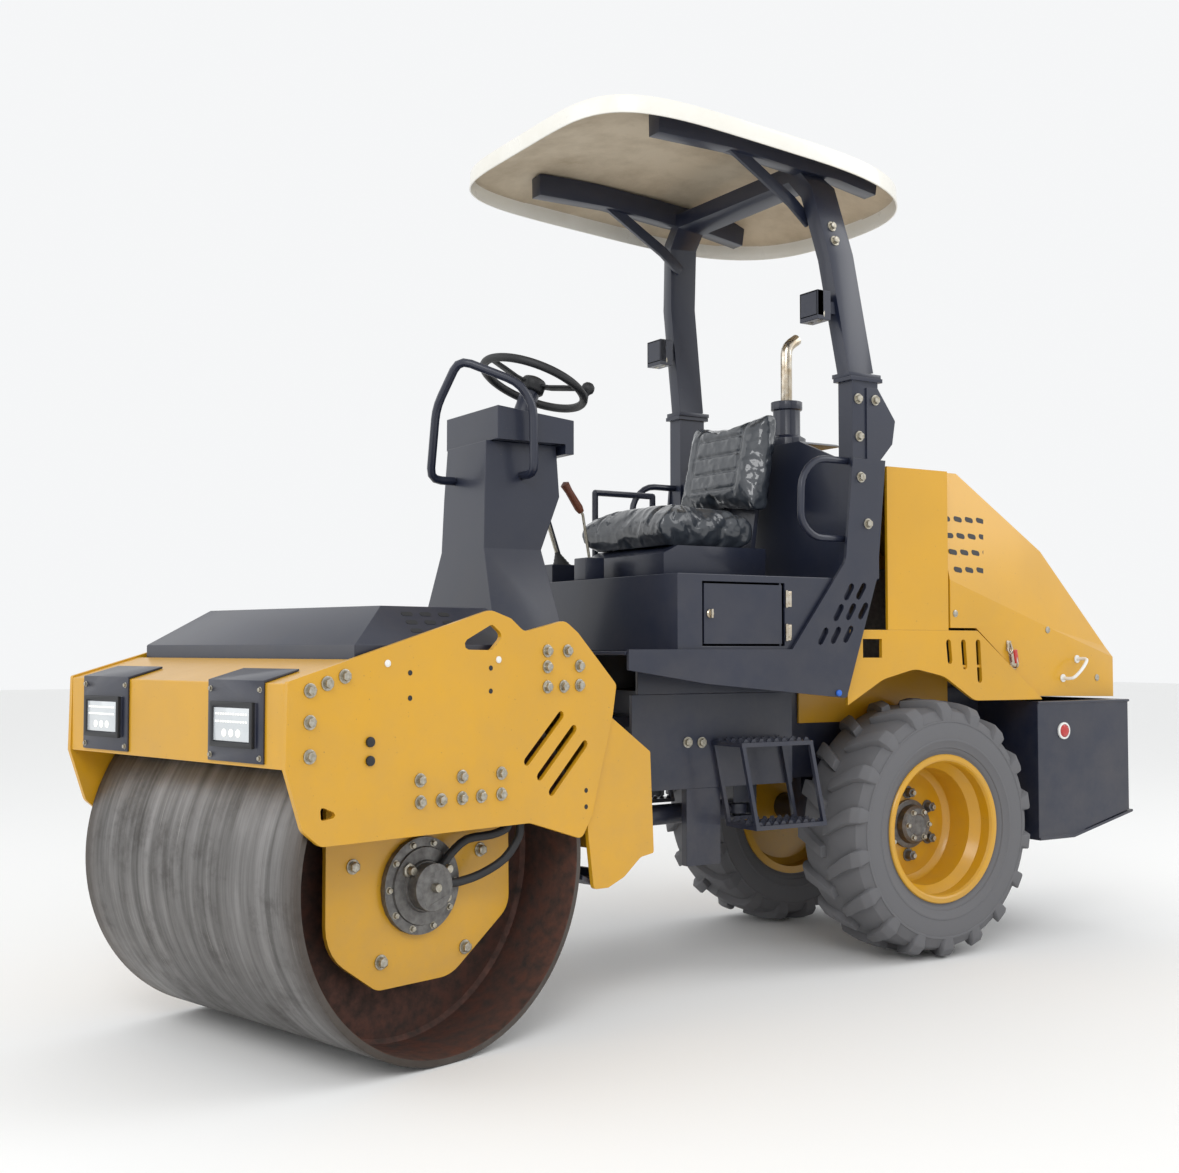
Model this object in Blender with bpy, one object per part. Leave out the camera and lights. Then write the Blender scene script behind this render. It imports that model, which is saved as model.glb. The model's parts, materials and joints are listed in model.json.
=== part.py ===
"""Small single-drum road roller: articulated frame, smooth steel drum, two lug tyres and a canopy.

Metres, +Z up, +X forward towards the drum, +Y to the machine's left. Each sub-part is one named
object. The shapes are placed from the ground point under the rear axle, and the last step moves
the whole machine so that its origin is at the bottom centre of its box.
"""

import math

import bmesh
import bpy
from mathutils import Matrix, Vector

# Overall layout
PIVOT_X = 0.930            # rear axle to articulation pivot
DRUM_REACH = 0.960         # articulation pivot to drum axle
STEER_AT_REST = math.radians(15.0)  # the front frame is parked turned to the left
CLEAR = 0.0003             # gap between pieces that touch

# Drum
DRUM_DIAMETER = 0.850
DRUM_WIDTH = 0.864
DRUM_SHELL = 0.018
DRUM_DISC_Y = 0.235        # middle of each end disc
DRUM_DISC = 0.016
DRUM_HUB_RADIUS = 0.085
DRUM_HUB_END = 0.278
DRUM_SEGMENTS = 44

# Rear wheels
TYRE_DIAMETER = 0.774
TYRE_WIDTH = 0.264
TYRE_WALL = 0.024
WHEEL_TRACK = 0.696
RIM_FLANGE_DIAMETER = 0.445
RIM_SEAT_DIAMETER = 0.415
RIM_WIDTH = 0.236
RIM_WALL = 0.008
RIM_DISC_INSET = 0.165     # rim's outer edge to the face of its disc
HUB_RADIUS = 0.062
WHEEL_SEGMENTS = 32

# Front frame
PLATE_INSIDE = 0.440       # centreline to the inner face of a side plate
PLATE = 0.012
BEAM_FACE = 0.459          # drum axle to the front face
BEAM_TOP = 0.861
BEAM_BOTTOM = 0.682
DECK_SLOPE = 0.279         # rise of the side plates' top edge
SHEET = 0.010
COVER_TOP = 1.024
MOTOR_DROP = 0.040         # the flange motors hang a little below the drum's axis

# Rear frame
CHASSIS_HALF = 0.305       # half-width in front of the tyres
CHASSIS_NECK = 0.190       # half-width between the tyres
CHASSIS_BOTTOM = 0.535
CHASSIS_TOP = 0.800
CHASSIS_FRONT = 1.020
CHASSIS_REAR = -0.440
CHASSIS_WALL = 0.012
SKIRT_OUT = 0.465          # centreline to the outer face of the side plates
SKIRT = 0.010
FLOOR_TOP = 0.920
FLOOR_FRONT = 1.140
DECK_TOP = 1.130           # top of the operator's platform
DECK_FRONT = 0.970
BODY_HALF = 0.430          # half-width of the engine housing
SEAM_Z = 0.990             # bottom edge of the cowl
COWL_FRONT = 0.150
COWL_REAR = -0.060
COWL_TOP = 1.470
HOOD_GAP = 0.008
HOOD_WALL = 0.008
TAIL_X = -0.880            # rear face of the counterweight
TAIL_FRONT = CHASSIS_REAR - CLEAR

# Operator's place
POST_DEPTH = 0.095
POST_WIDTH = 0.060
POST_JOINT_Z = 1.720
CANOPY_THICK = 0.014
WHEEL_RIM_RADIUS = 0.165
COLUMN_TILT = math.radians(22.0)
CANOPY_REAR = -0.030
CANOPY_FRONT = 1.210
CANOPY_HALF_Y = 0.500
CANOPY_TOP = 2.455
LIP_FRONT = 2.360          # lower edge of the roof in front
LIP_REAR = 2.280           # and behind
LIP = 0.050                # height of the roof's turned-down edge
ARM_Y = 0.330
ARM_WIDTH = 0.050
ARM_HEIGHT = 0.060
ROOF_POWER = 5.0           # squareness of the roof's outline
ROOF_SIDES = 36
LAMP_BACK = 0.412
LAMP_Z = 1.923
EXHAUST = (0.262, 0.055)

# Joints
PIVOT_LOW = 0.500          # underside of the lower ear
PIVOT_HIGH = 0.730         # top of the upper ear
PIN_RADIUS = 0.030
MOTOR_RADIUS = 0.112
CYLINDER_Z = 0.455
ROD_EYE = (0.240 - DRUM_REACH, 0.170)   # in the front frame, from the drum's axle
BARREL_PIN = (0.560, 0.170)
DOOR_HINGE_X = 0.612
DOOR_FRONT = 0.882
DOOR_LOW = 0.940
DOOR_HIGH = 1.104
DOOR_GAP = 0.006
HOOD_HINGE = (-0.058, 1.494)   # (x, z) of the hood's hinge line
HINGE_PIN = 0.005

WHEEL_FACE = WHEEL_TRACK / 2 + RIM_WIDTH / 2 - RIM_DISC_INSET  # centreline to the rim's disc
AXLE_Z = TYRE_DIAMETER / 2
DRUM_Z = DRUM_DIAMETER / 2
PLATE_OUTSIDE = PLATE_INSIDE + PLATE


def linear(channel):
    return channel / 12.92 if channel <= 0.04045 else ((channel + 0.055) / 1.055) ** 2.4


def finish(name, colour, roughness, metallic=0.0):
    """A Principled material from an sRGB hex colour."""
    material = bpy.data.materials.new(name)
    material.use_nodes = True
    shader = material.node_tree.nodes["Principled BSDF"]
    channels = [linear(int(colour[i : i + 2], 16) / 255) for i in (0, 2, 4)]
    shader.inputs["Base Color"].default_value = (*channels, 1)
    shader.inputs["Roughness"].default_value = roughness
    shader.inputs["Metallic"].default_value = metallic
    material.diffuse_color = (*channels, 1)
    return material


def clear_scene():
    for item in list(bpy.data.objects):
        bpy.data.objects.remove(item)


def keep(mesh, name, material, parent):
    """Turns a bmesh into a named object with its faces outwards."""
    bmesh.ops.recalc_face_normals(mesh, faces=mesh.faces)
    data = bpy.data.meshes.new(name)
    mesh.to_mesh(data)
    mesh.free()
    data.materials.append(material)
    item = bpy.data.objects.new(name, data)
    bpy.context.scene.collection.objects.link(item)
    item.parent = parent
    return item


def smooth(item, angle=30.0):
    item.data.shade_smooth()
    item.data.set_sharp_from_angle(angle=math.radians(angle))
    return item


def prism(outline, axis, low, high):
    """A bmesh of a flat outline pushed along an axis: X takes (y, z), Y takes (x, z), Z takes (x, y)."""
    place = {
        "X": lambda u, v, w: (w, u, v),
        "Y": lambda u, v, w: (u, w, v),
        "Z": lambda u, v, w: (u, v, w),
    }[axis]
    mesh = bmesh.new()
    rings = [[mesh.verts.new(place(u, v, w)) for u, v in outline] for w in (low, high)]
    mesh.faces.new(rings[0])
    mesh.faces.new(rings[1])
    for i in range(len(outline)):
        j = (i + 1) % len(outline)
        mesh.faces.new([rings[0][i], rings[0][j], rings[1][j], rings[1][i]])
    return mesh


def block(low, high):
    """A bmesh box between two corners."""
    return prism([(low[0], low[1]), (high[0], low[1]), (high[0], high[1]), (low[0], high[1])], "Z", low[2], high[2])


def rounded(outline, radius, steps=3):
    """The outline with each corner turned into an arc. A corner given as (u, v, r) has its own radius."""
    corners = [Vector(point[:2]) for point in outline]
    points = []
    for i, here in enumerate(corners):
        size = outline[i][2] if len(outline[i]) > 2 else radius
        before = corners[i - 1] - here
        after = corners[(i + 1) % len(corners)] - here
        half = before.angle(after) / 2
        if size <= 0 or half > math.radians(88):
            points.append(tuple(here))
            continue
        reach = min(size / math.tan(half), before.length * 0.45, after.length * 0.45)
        size = reach * math.tan(half)
        middle = here + (before.normalized() + after.normalized()).normalized() * (size / math.sin(half))
        start = here + before.normalized() * reach - middle
        turn = start.angle_signed(here + after.normalized() * reach - middle)
        for step in range(steps + 1):
            points.append(tuple(middle + Matrix.Rotation(-turn * step / steps, 2) @ start))
    return points


def turned(profile, segments, axis="Y", centre=(0, 0, 0)):
    """A bmesh of a closed (radius, along) profile turned about an axis, with a vertex at the bottom."""
    mesh = bmesh.new()
    rings = []
    for i in range(segments):
        angle = 2 * math.pi * i / segments
        ring = []
        for radius, along in profile:
            across = radius * math.cos(angle)
            up = radius * math.sin(angle)
            spot = {
                "X": (along, across, up),
                "Y": (across, along, up),
                "Z": (across, up, along),
            }[axis]
            ring.append(mesh.verts.new(Vector(centre) + Vector(spot)))
        rings.append(ring)
    for i in range(segments):
        for j in range(len(profile)):
            k = (j + 1) % len(profile)
            here, there = rings[i], rings[(i + 1) % segments]
            mesh.faces.new([here[j], here[k], there[k], there[j]])
    bmesh.ops.remove_doubles(mesh, verts=mesh.verts, dist=0.00001)
    return mesh


def rod(start, end, radius, segments=16):
    """A bmesh cylinder between two points."""
    start, end = Vector(start), Vector(end)
    mesh = bmesh.new()
    turn = Vector((0, 0, 1)).rotation_difference(end - start).to_matrix().to_4x4()
    place = Matrix.Translation((start + end) / 2) @ turn
    bmesh.ops.create_cone(
        mesh, cap_ends=True, segments=segments, radius1=radius, radius2=radius,
        depth=(end - start).length, matrix=place,
    )
    return mesh


def bar(path, across, size):
    """A bmesh rectangular bar along a path with mitred corners; across is the side direction."""
    mesh = bmesh.new()
    across = Vector(across).normalized()
    points = [Vector(point) for point in path]
    rings = []
    for i, here in enumerate(points):
        into = (here - points[i - 1]).normalized() if i else (points[1] - here).normalized()
        out = (points[i + 1] - here).normalized() if i + 1 < len(points) else into
        mitre = (into + out).normalized()
        up = into.cross(across).normalized()
        side = up.cross(into).normalized()
        ring = []
        for u, v in ((-1, -1), (1, -1), (1, 1), (-1, 1)):
            offset = side * (u * size[0] / 2) + up * (v * size[1] / 2)
            ring.append(mesh.verts.new(here + offset - into * (offset.dot(mitre) / into.dot(mitre))))
        rings.append(ring)
    for first, second in zip(rings, rings[1:]):
        for j in range(4):
            k = (j + 1) % 4
            mesh.faces.new([first[j], first[k], second[k], second[j]])
    mesh.faces.new(rings[0])
    mesh.faces.new(rings[-1])
    return mesh


def lofted(levels):
    """A bmesh through level rectangles, each (height, front x, rear x, half-width)."""
    mesh = bmesh.new()
    rings = []
    for height, ahead, behind, half in levels:
        corners = [(ahead, -half), (ahead, half), (behind, half), (behind, -half)]
        rings.append([mesh.verts.new((x, y, height)) for x, y in corners])
    for first, second in zip(rings, rings[1:]):
        for j in range(4):
            k = (j + 1) % 4
            mesh.faces.new([first[j], first[k], second[k], second[j]])
    mesh.faces.new(rings[0])
    mesh.faces.new(rings[-1])
    return mesh


def arc(centre, radius, first, last, steps):
    """Points of an arc in a plane, angles in degrees."""
    points = []
    for i in range(steps + 1):
        angle = math.radians(first + (last - first) * i / steps)
        points.append((centre[0] + radius * math.cos(angle), centre[1] + radius * math.sin(angle)))
    return points


def mirrored(points, side):
    """Points (x, y, z) on the left, or on the right when side is -1."""
    return [(x, side * y, z) for x, y, z in points]


def span(side, low, high):
    """The low and high Y of a slab that lies between two distances from the centreline."""
    return (low, high) if side > 0 else (-high, -low)


HELPERS = []


def helper(mesh, parent=None):
    """A hidden object that a Boolean uses."""
    item = keep(mesh, f"helper_{len(HELPERS):03d}", STEEL, parent)
    item.hide_render = True
    item.display_type = "WIRE"
    HELPERS.append(item)
    return item


def cut(item, mesh):
    modifier = item.modifiers.new("cut", "BOOLEAN")
    modifier.operation = "DIFFERENCE"
    modifier.object = helper(mesh, item.parent)
    return item


def weld(item, mesh):
    modifier = item.modifiers.new("weld", "BOOLEAN")
    modifier.operation = "UNION"
    modifier.object = helper(mesh, item.parent)
    return item


def tube(name, path, radius, material, parent, resolution=2, smooth_path=False):
    """A round tube as a curve with filled caps."""
    data = bpy.data.curves.new(name, "CURVE")
    data.dimensions = "3D"
    data.bevel_depth = radius
    data.bevel_resolution = resolution
    data.use_fill_caps = True
    spline = data.splines.new("POLY")
    points = through(path) if smooth_path else bends(path)
    spline.points.add(len(points) - 1)
    for spot, point in zip(spline.points, points):
        spot.co = (*point, 1)
    data.materials.append(material)
    item = bpy.data.objects.new(name, data)
    bpy.context.scene.collection.objects.link(item)
    item.parent = parent
    return item


def bends(path, radius=0.035, steps=3):
    """A path of straight runs with each corner turned into an arc."""
    corners = [Vector(point) for point in path]
    points = [corners[0]]
    for before, here, after in zip(corners, corners[1:], corners[2:]):
        back = (before - here)
        on = (after - here)
        reach = min(radius, back.length * 0.45, on.length * 0.45)
        first = here + back.normalized() * reach
        last = here + on.normalized() * reach
        for i in range(steps + 1):
            t = i / steps
            points.append((1 - t) ** 2 * first + 2 * t * (1 - t) * here + t * t * last)
    points.append(corners[-1])
    return points


def through(path, steps=3):
    """A smooth curve through the path's points."""
    ends = [Vector(path[0])] + [Vector(p) for p in path] + [Vector(path[-1])]
    points = []
    for a, b, c, d in zip(ends, ends[1:], ends[2:], ends[3:]):
        for i in range(steps):
            t = i / steps
            points.append(
                0.5 * ((2 * b) + (c - a) * t + (2 * a - 5 * b + 4 * c - d) * t * t + (3 * b - a - 3 * c + d) * t ** 3)
            )
    points.append(ends[-1])
    return points


# ---------------------------------------------------------------- front frame


def side_plate(side, name, front):
    """The yellow plate beside the drum, rising to the lifting eye behind it."""
    outline = [
        (BEAM_FACE, BEAM_TOP, 0.006),
        (-0.100, BEAM_TOP + DECK_SLOPE * (BEAM_FACE + 0.100), 0.045),
        (-0.165, 0.998, 0.02),
        (-0.208, 0.967, 0.03),
        (-0.345, 0.996, 0.04),
        (-0.392, 0.966, 0.03),
        (-0.532, 0.837, 0.015),
        (-0.518, 0.761, 0.02),
        (-0.443, 0.518, 0.01),
        (-0.405, 0.463, 0.02),
        (-0.229, 0.517, 0.06),
        (0.375, 0.520, 0.03),
        (0.420, 0.556, 0.03),
        (BEAM_FACE + 0.004, BEAM_BOTTOM, 0.006),
    ]
    low, high = span(side, PLATE_INSIDE, PLATE_OUTSIDE)
    plate = keep(prism(rounded(outline, 0.02), "Y", low, high), name, YELLOW, front)
    openings = [
        rounded([(0.021, 0.926), (-0.104, 0.984), (-0.140, 0.958), (-0.104, 0.924)], 0.012),
        rounded([(0.377, 0.604), (0.322, 0.580), (0.375, 0.573)], 0.006, 2),
        slanted((-0.339, 0.774), (-0.210, 0.655), 0.020),
        slanted((-0.384, 0.739), (-0.253, 0.617), 0.020),
        slanted((-0.423, 0.700), (-0.293, 0.578), 0.020),
    ]
    for opening in openings:
        cut(plate, prism(opening, "Y", low - 0.01, high + 0.01))
    return plate


def slanted(first, last, width, steps=4):
    """The outline of a slot with round ends between two points."""
    first, last = Vector(first), Vector(last)
    heading = math.degrees(math.atan2(last.y - first.y, last.x - first.x))
    inset = (last - first).normalized() * (width / 2)
    return (
        arc(first + inset, width / 2, heading + 90, heading + 270, steps)
        + arc(last - inset, width / 2, heading - 90, heading + 90, steps)
    )


def front_beam(front):
    """The folded front panel: a lip below, the lamp face and the sloped top."""
    back = 0.285
    top = BEAM_TOP + DECK_SLOPE * (BEAM_FACE - back)
    lean = SHEET * math.hypot(1, DECK_SLOPE)
    outline = [
        (BEAM_FACE, BEAM_BOTTOM),
        (BEAM_FACE, BEAM_TOP - 0.004),
        (back, top - 0.004),
        (back, top - 0.004 - lean),
        (BEAM_FACE - SHEET, BEAM_TOP - 0.004 - lean + DECK_SLOPE * SHEET),
        (BEAM_FACE - SHEET, BEAM_BOTTOM + SHEET),
        (0.372, BEAM_BOTTOM + SHEET),
        (0.372, BEAM_BOTTOM),
    ]
    inside = PLATE_INSIDE - CLEAR
    return keep(prism(outline, "Y", -inside, inside), "front_beam", YELLOW, front)


def deck_plate(front):
    """The flat sheet over the drum that the cover stands on."""
    inside = PLATE_INSIDE - CLEAR
    return keep(block((-0.470, -inside, 0.876), (0.284, inside, 0.886)), "drum_deck", BLACK, front)


def drum_cover(front):
    """The low dark housing over the drum: a rim, then four sloping faces up to a flat top."""
    base = 0.886 + CLEAR
    rim = 0.936
    wall = 0.008
    cover = keep(lofted([
        (base, 0.270, -0.255, 0.425),
        (rim, 0.270, -0.255, 0.425),
        (COVER_TOP, 0.137, -0.185, 0.345),
    ]), "drum_cover", BLACK, front)
    return cut(cover, lofted([
        (base - 0.01, 0.270 - wall, wall - 0.255, 0.425 - wall),
        (rim - wall / 2, 0.270 - wall, wall - 0.255, 0.425 - wall),
        (COVER_TOP - SHEET, 0.137 - wall / 2, wall / 2 - 0.185, 0.345 - wall / 2),
    ]))


def headlamp(side, name, front):
    """A black lamp panel on the front face that folds back over the sloped top."""
    low, high = span(side, 0.168, 0.374)
    thick = 0.005
    fold = BEAM_TOP - 0.004
    back = 0.375
    rise = DECK_SLOPE * (BEAM_FACE - back)
    outline = [
        (BEAM_FACE + CLEAR, 0.690),
        (BEAM_FACE + thick, 0.690),
        (BEAM_FACE + thick, fold + CLEAR + thick),
        (back, fold + rise + CLEAR + thick),
        (back, fold + rise + CLEAR * 2),
        (BEAM_FACE + CLEAR, fold + CLEAR * 2),
    ]
    panel = keep(prism(outline, "Y", low, high), name, BLACK, front)
    middle = (low + high) / 2
    lens = (BEAM_FACE + CLEAR, middle - 0.078, 0.722), (BEAM_FACE + 0.013, middle + 0.078, 0.816)
    return weld(panel, block(*lens))


def crossmember(front):
    """The rear of the front frame: a plate behind the drum, its two wings and the lugs of the cylinder."""
    inside = PLATE_INSIDE - CLEAR
    frame = keep(block((-0.486, -inside + 0.002, 0.430), (-0.474, inside - 0.002, 0.875)), "rear_crossmember", YELLOW, front)
    outline = [
        (-0.440, 0.760, 0), (-0.518, 0.760, 0), (-0.676, 0.661, 0.006), (-0.690, 0.399, 0.006),
        (-0.638, 0.393, 0.03), (-0.575, 0.350, 0.05), (-0.515, 0.330, 0.012), (-0.462, 0.332, 0.012),
        (-0.440, 0.480, 0),
    ]
    for side in (1, -1):
        low, high = span(side, inside - 0.012, inside)
        weld(frame, prism(rounded(outline, 0), "Y", low, high))
    x, y = ROD_EYE
    low, high = CYLINDER_Z - 0.035, CYLINDER_Z + 0.035
    weld(frame, block((x - 0.035, y - 0.032, low), (-0.480, y + 0.032, high)))
    return cut(frame, block((x - 0.1, y - 0.05, CYLINDER_Z - 0.022), (x + 0.065, y + 0.05, CYLINDER_Z + 0.022)))


def tongue(front):
    """The beam from the crossmember back to the pivot, with its bore and the cylinder's lug."""
    reach = DRUM_REACH - 0.487
    outline = (
        [(reach - 0.0, -0.150), (reach - 0.0, 0.150), (0.300, 0.078)]
        + arc((0, 0), 0.075, 90, 270, 10)
        + [(0.300, -0.078)]
    )
    outline = [(x - DRUM_REACH, y) for x, y in outline]
    beam = keep(prism(outline, "Z", PIVOT_LOW + 0.0355, PIVOT_HIGH - 0.0355), "articulation_tongue", BLACK, front)
    cut(beam, rod((-DRUM_REACH, 0, PIVOT_LOW), (-DRUM_REACH, 0, PIVOT_HIGH), PIN_RADIUS + 0.0005, 24))
    return beam


def drum_support(side, name, front):
    """The bracket bolted inside a side plate and the yellow plate that carries the drum's motor."""
    face = 0.306
    low, high = span(side, face, face + 0.012)
    outline = [
        (0.262, 0.600, 0.02), (0.262, 0.262, 0.12), (0.120, 0.163, 0.05), (-0.100, 0.163, 0.10),
        (-0.287, 0.300, 0.06), (-0.283, 0.600, 0.02),
    ]
    plate = keep(prism(rounded(outline, 0.02, 5), "Y", low, high), name, YELLOW, front)
    cut(plate, rod((0, low - 0.02, DRUM_Z - MOTOR_DROP), (0, high + 0.02, DRUM_Z - MOTOR_DROP), MOTOR_RADIUS - 0.02, 24))
    for ahead in (0.180, -0.225):
        near, far = span(side, face + 0.006, PLATE_INSIDE - CLEAR)
        weld(plate, block((ahead - 0.045, near, 0.545), (ahead + 0.045, far, 0.600)))
    return plate


def drum_motor(side, name, front):
    """The flange motor in the middle of a support plate."""
    face = 0.306
    reach = 0.045 if side > 0 else 0.030
    inner = DRUM_HUB_END + CLEAR
    profile = [
        (0.0, inner), (MOTOR_RADIUS - 0.024, inner), (MOTOR_RADIUS - 0.024, face + 0.0123),
        (MOTOR_RADIUS, face + 0.0123), (MOTOR_RADIUS, face + 0.024), (0.055, face + 0.024),
        (0.055, face + 0.024 + reach), (0.0, face + 0.024 + reach),
    ]
    profile = [(radius, side * along) for radius, along in profile]
    return smooth(keep(turned(profile, 24, "Y", (0, 0, DRUM_Z - MOTOR_DROP)), name, STEEL, front))


def motor_hoses(front):
    """Two hoses from the motor up and back to the crossmember."""
    lug = 0.545 - CLEAR * 2
    routes = {
        "motor_hose_upper": [
            (-0.0393, 0.352, 0.4243), (-0.053, 0.352, 0.438), (-0.067, 0.352, 0.452), (-0.110, 0.360, 0.482),
            (-0.165, 0.385, 0.490), (-0.200, 0.399, 0.503), (-0.205, 0.400, 0.520), (-0.205, 0.400, 0.532),
            (-0.205, 0.400, lug),
        ],
        "motor_hose_lower": [
            (-0.0557, 0.352, 0.385), (-0.075, 0.352, 0.385), (-0.095, 0.352, 0.385), (-0.150, 0.364, 0.397),
            (-0.205, 0.388, 0.430), (-0.240, 0.399, 0.478), (-0.245, 0.400, 0.512), (-0.245, 0.400, 0.528),
            (-0.245, 0.400, lug),
        ],
    }
    return [tube(name, route, 0.011, RUBBER, front, 2, True) for name, route in routes.items()]


def scraper(front):
    inside = PLATE_INSIDE - 0.013
    outline = [(-0.432, 0.358), (-0.470, 0.340), (-0.528, 0.340), (-0.528, 0.372), (-0.516, 0.372), (-0.516, 0.352), (-0.472, 0.352), (-0.436, 0.368)]
    return keep(prism(outline, "Y", -inside, inside), "drum_scraper", BLACK, front)


def drum(front):
    """The steel shell with two end discs on a hub tube; holes in the discs open the middle."""
    radius = DRUM_DIAMETER / 2
    bore = radius - DRUM_SHELL
    half = DRUM_WIDTH / 2
    face = DRUM_DISC_Y + DRUM_DISC / 2
    profile = [
        (0.0, -DRUM_HUB_END), (DRUM_HUB_RADIUS, -DRUM_HUB_END), (DRUM_HUB_RADIUS, -face), (bore, -face), (bore, -half),
        (radius, -half), (radius, half), (bore, half), (bore, face), (DRUM_HUB_RADIUS, face),
        (DRUM_HUB_RADIUS, DRUM_HUB_END), (0.0, DRUM_HUB_END),
    ]
    shell = keep(turned(profile, DRUM_SEGMENTS, "Y", (0, 0, DRUM_Z)), "drum", STEEL, front)
    back = DRUM_DISC_Y - DRUM_DISC / 2
    hollow = [(DRUM_HUB_RADIUS, -back), (bore, -back), (bore, back), (DRUM_HUB_RADIUS, back)]
    cut(shell, turned(hollow, DRUM_SEGMENTS, "Y", (0, 0, DRUM_Z)))
    for turn in (45, 135, 225, 315):
        x = 0.27 * math.cos(math.radians(turn))
        z = DRUM_Z + 0.27 * math.sin(math.radians(turn))
        cut(shell, rod((x, -0.3, z), (x, 0.3, z), 0.035, 12))
    return smooth(shell)


# ---------------------------------------------------------------- rear frame


def chassis(rear):
    """The welded frame: wide ahead of the tyres, narrow between them, open on top and in front."""
    def plan(inset):
        return [
            (CHASSIS_FRONT, CHASSIS_HALF - inset), (0.455 + inset, CHASSIS_HALF - inset),
            (0.455 + inset, CHASSIS_NECK - inset), (CHASSIS_REAR + inset, CHASSIS_NECK - inset),
            (CHASSIS_REAR + inset, inset - CHASSIS_NECK), (0.455 + inset, inset - CHASSIS_NECK),
            (0.455 + inset, inset - CHASSIS_HALF), (CHASSIS_FRONT, inset - CHASSIS_HALF),
        ]
    frame = keep(prism(plan(0), "Z", CHASSIS_BOTTOM, CHASSIS_TOP), "chassis", BLACK, rear)
    inside = [(x if x < CHASSIS_FRONT else 0.790, y) for x, y in plan(CHASSIS_WALL)]
    cut(frame, prism(inside, "Z", CHASSIS_BOTTOM + CHASSIS_WALL, CHASSIS_TOP + 0.05))
    half = CHASSIS_HALF - CHASSIS_WALL
    cut(frame, block((0.802, -half, CHASSIS_BOTTOM - 0.05), (CHASSIS_FRONT + 0.05, half, CHASSIS_TOP + 0.05)))
    for low in (PIVOT_LOW, PIVOT_HIGH - 0.030):
        ear = [(0.795, -0.130), (0.795, 0.130)] + [(PIVOT_X + x, y) for x, y in arc((0, 0), 0.075, 90, -90, 10)]
        weld(frame, prism(ear, "Z", low, low + 0.030))
    weld(frame, block((0.790, -0.130, PIVOT_LOW), (0.802, 0.130, PIVOT_HIGH)))
    x, y = BARREL_PIN
    weld(frame, block((x - 0.050, y - 0.036, CYLINDER_Z - 0.032), (x + 0.036, y + 0.036, CHASSIS_BOTTOM + 0.005)))
    cut(frame, block((x - 0.036, y - 0.1, CYLINDER_Z - 0.020), (x + 0.1, y + 0.1, CYLINDER_Z + 0.020)))
    weld(frame, rod((x, y, CYLINDER_Z - 0.025), (x, y, CYLINDER_Z + 0.025), 0.015, 20))
    weld(frame, block((0.717, 0.278, 0.320), (0.835, 0.303, CHASSIS_BOTTOM + 0.005)))
    bore = PIN_RADIUS + CLEAR
    cut(frame, rod((PIVOT_X, 0, PIVOT_LOW - 0.02), (PIVOT_X, 0, PIVOT_HIGH + 0.02), bore, 24))
    return frame


def pivot_pin(rear):
    low, high = PIVOT_LOW - 0.012, PIVOT_HIGH + 0.012
    profile = [
        (0.0, low), (PIN_RADIUS, low), (PIN_RADIUS, high - 0.0117), (PIN_RADIUS + 0.014, high - 0.0117),
        (PIN_RADIUS + 0.014, high), (0.0, high),
    ]
    profile = [(radius * 0.998, along) for radius, along in profile]
    return smooth(keep(turned(profile, 24, "Z", (PIVOT_X, 0, 0)), "pivot_pin", STEEL, rear))


def rear_axle(rear):
    """The drive axle: a housing under the frame, two pads and a stub in each wheel."""
    stub = WHEEL_FACE - 0.012 - CLEAR
    profile = [
        (0.0, -stub), (0.045, -stub), (0.045, -0.200), (0.058, -0.190), (0.058, -0.120), (0.125, -0.070),
        (0.125, 0.070), (0.058, 0.120), (0.058, 0.190), (0.045, 0.200), (0.045, stub), (0.0, stub),
    ]
    axle = keep(turned(profile, 16, "Y", (0, 0, AXLE_Z)), "rear_axle", BLACK, rear)
    for side in (1, -1):
        low, high = span(side, 0.125, 0.185)
        weld(axle, block((-0.060, low, AXLE_Z), (0.060, high, CHASSIS_BOTTOM - CLEAR)))
    return smooth(axle)


def engine(rear):
    half = CHASSIS_NECK - CHASSIS_WALL - 0.010
    floor = CHASSIS_BOTTOM + CHASSIS_WALL + CLEAR
    return keep(block((-0.400, -half, floor), (0.120, half, 1.180)), "engine_block", STEEL, rear)


def counterweight(rear):
    """The rear bumper casting: flat sides, a rising underside and a thin lip along the bottom."""
    top = 0.758
    outline = [(TAIL_FRONT, 0.326), (-0.600, 0.326), (TAIL_X, 0.392), (TAIL_X, top), (TAIL_FRONT, top)]
    half = 0.440
    body = keep(prism(outline, "Y", -half, half), "counterweight", BLACK, rear)
    lip = [(TAIL_FRONT, 0.318), (-0.602, 0.318), (TAIL_X - 0.012, 0.384), (TAIL_X - 0.012, 0.3925), (-0.602, 0.327), (TAIL_FRONT, 0.327)]
    weld(body, prism(lip, "Y", -half - 0.006, half + 0.006))
    weld(body, block((TAIL_X - 0.004, -half - 0.004, top - 0.008), (TAIL_FRONT, half + 0.004, top)))
    inner = [(TAIL_FRONT - 0.030, 0.365), (-0.600, 0.365), (TAIL_X + 0.040, 0.430), (TAIL_X + 0.040, top + 0.05), (TAIL_FRONT - 0.030, top + 0.05)]
    return cut(body, prism(inner, "Y", 0.040 - half, half - 0.040))


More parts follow.
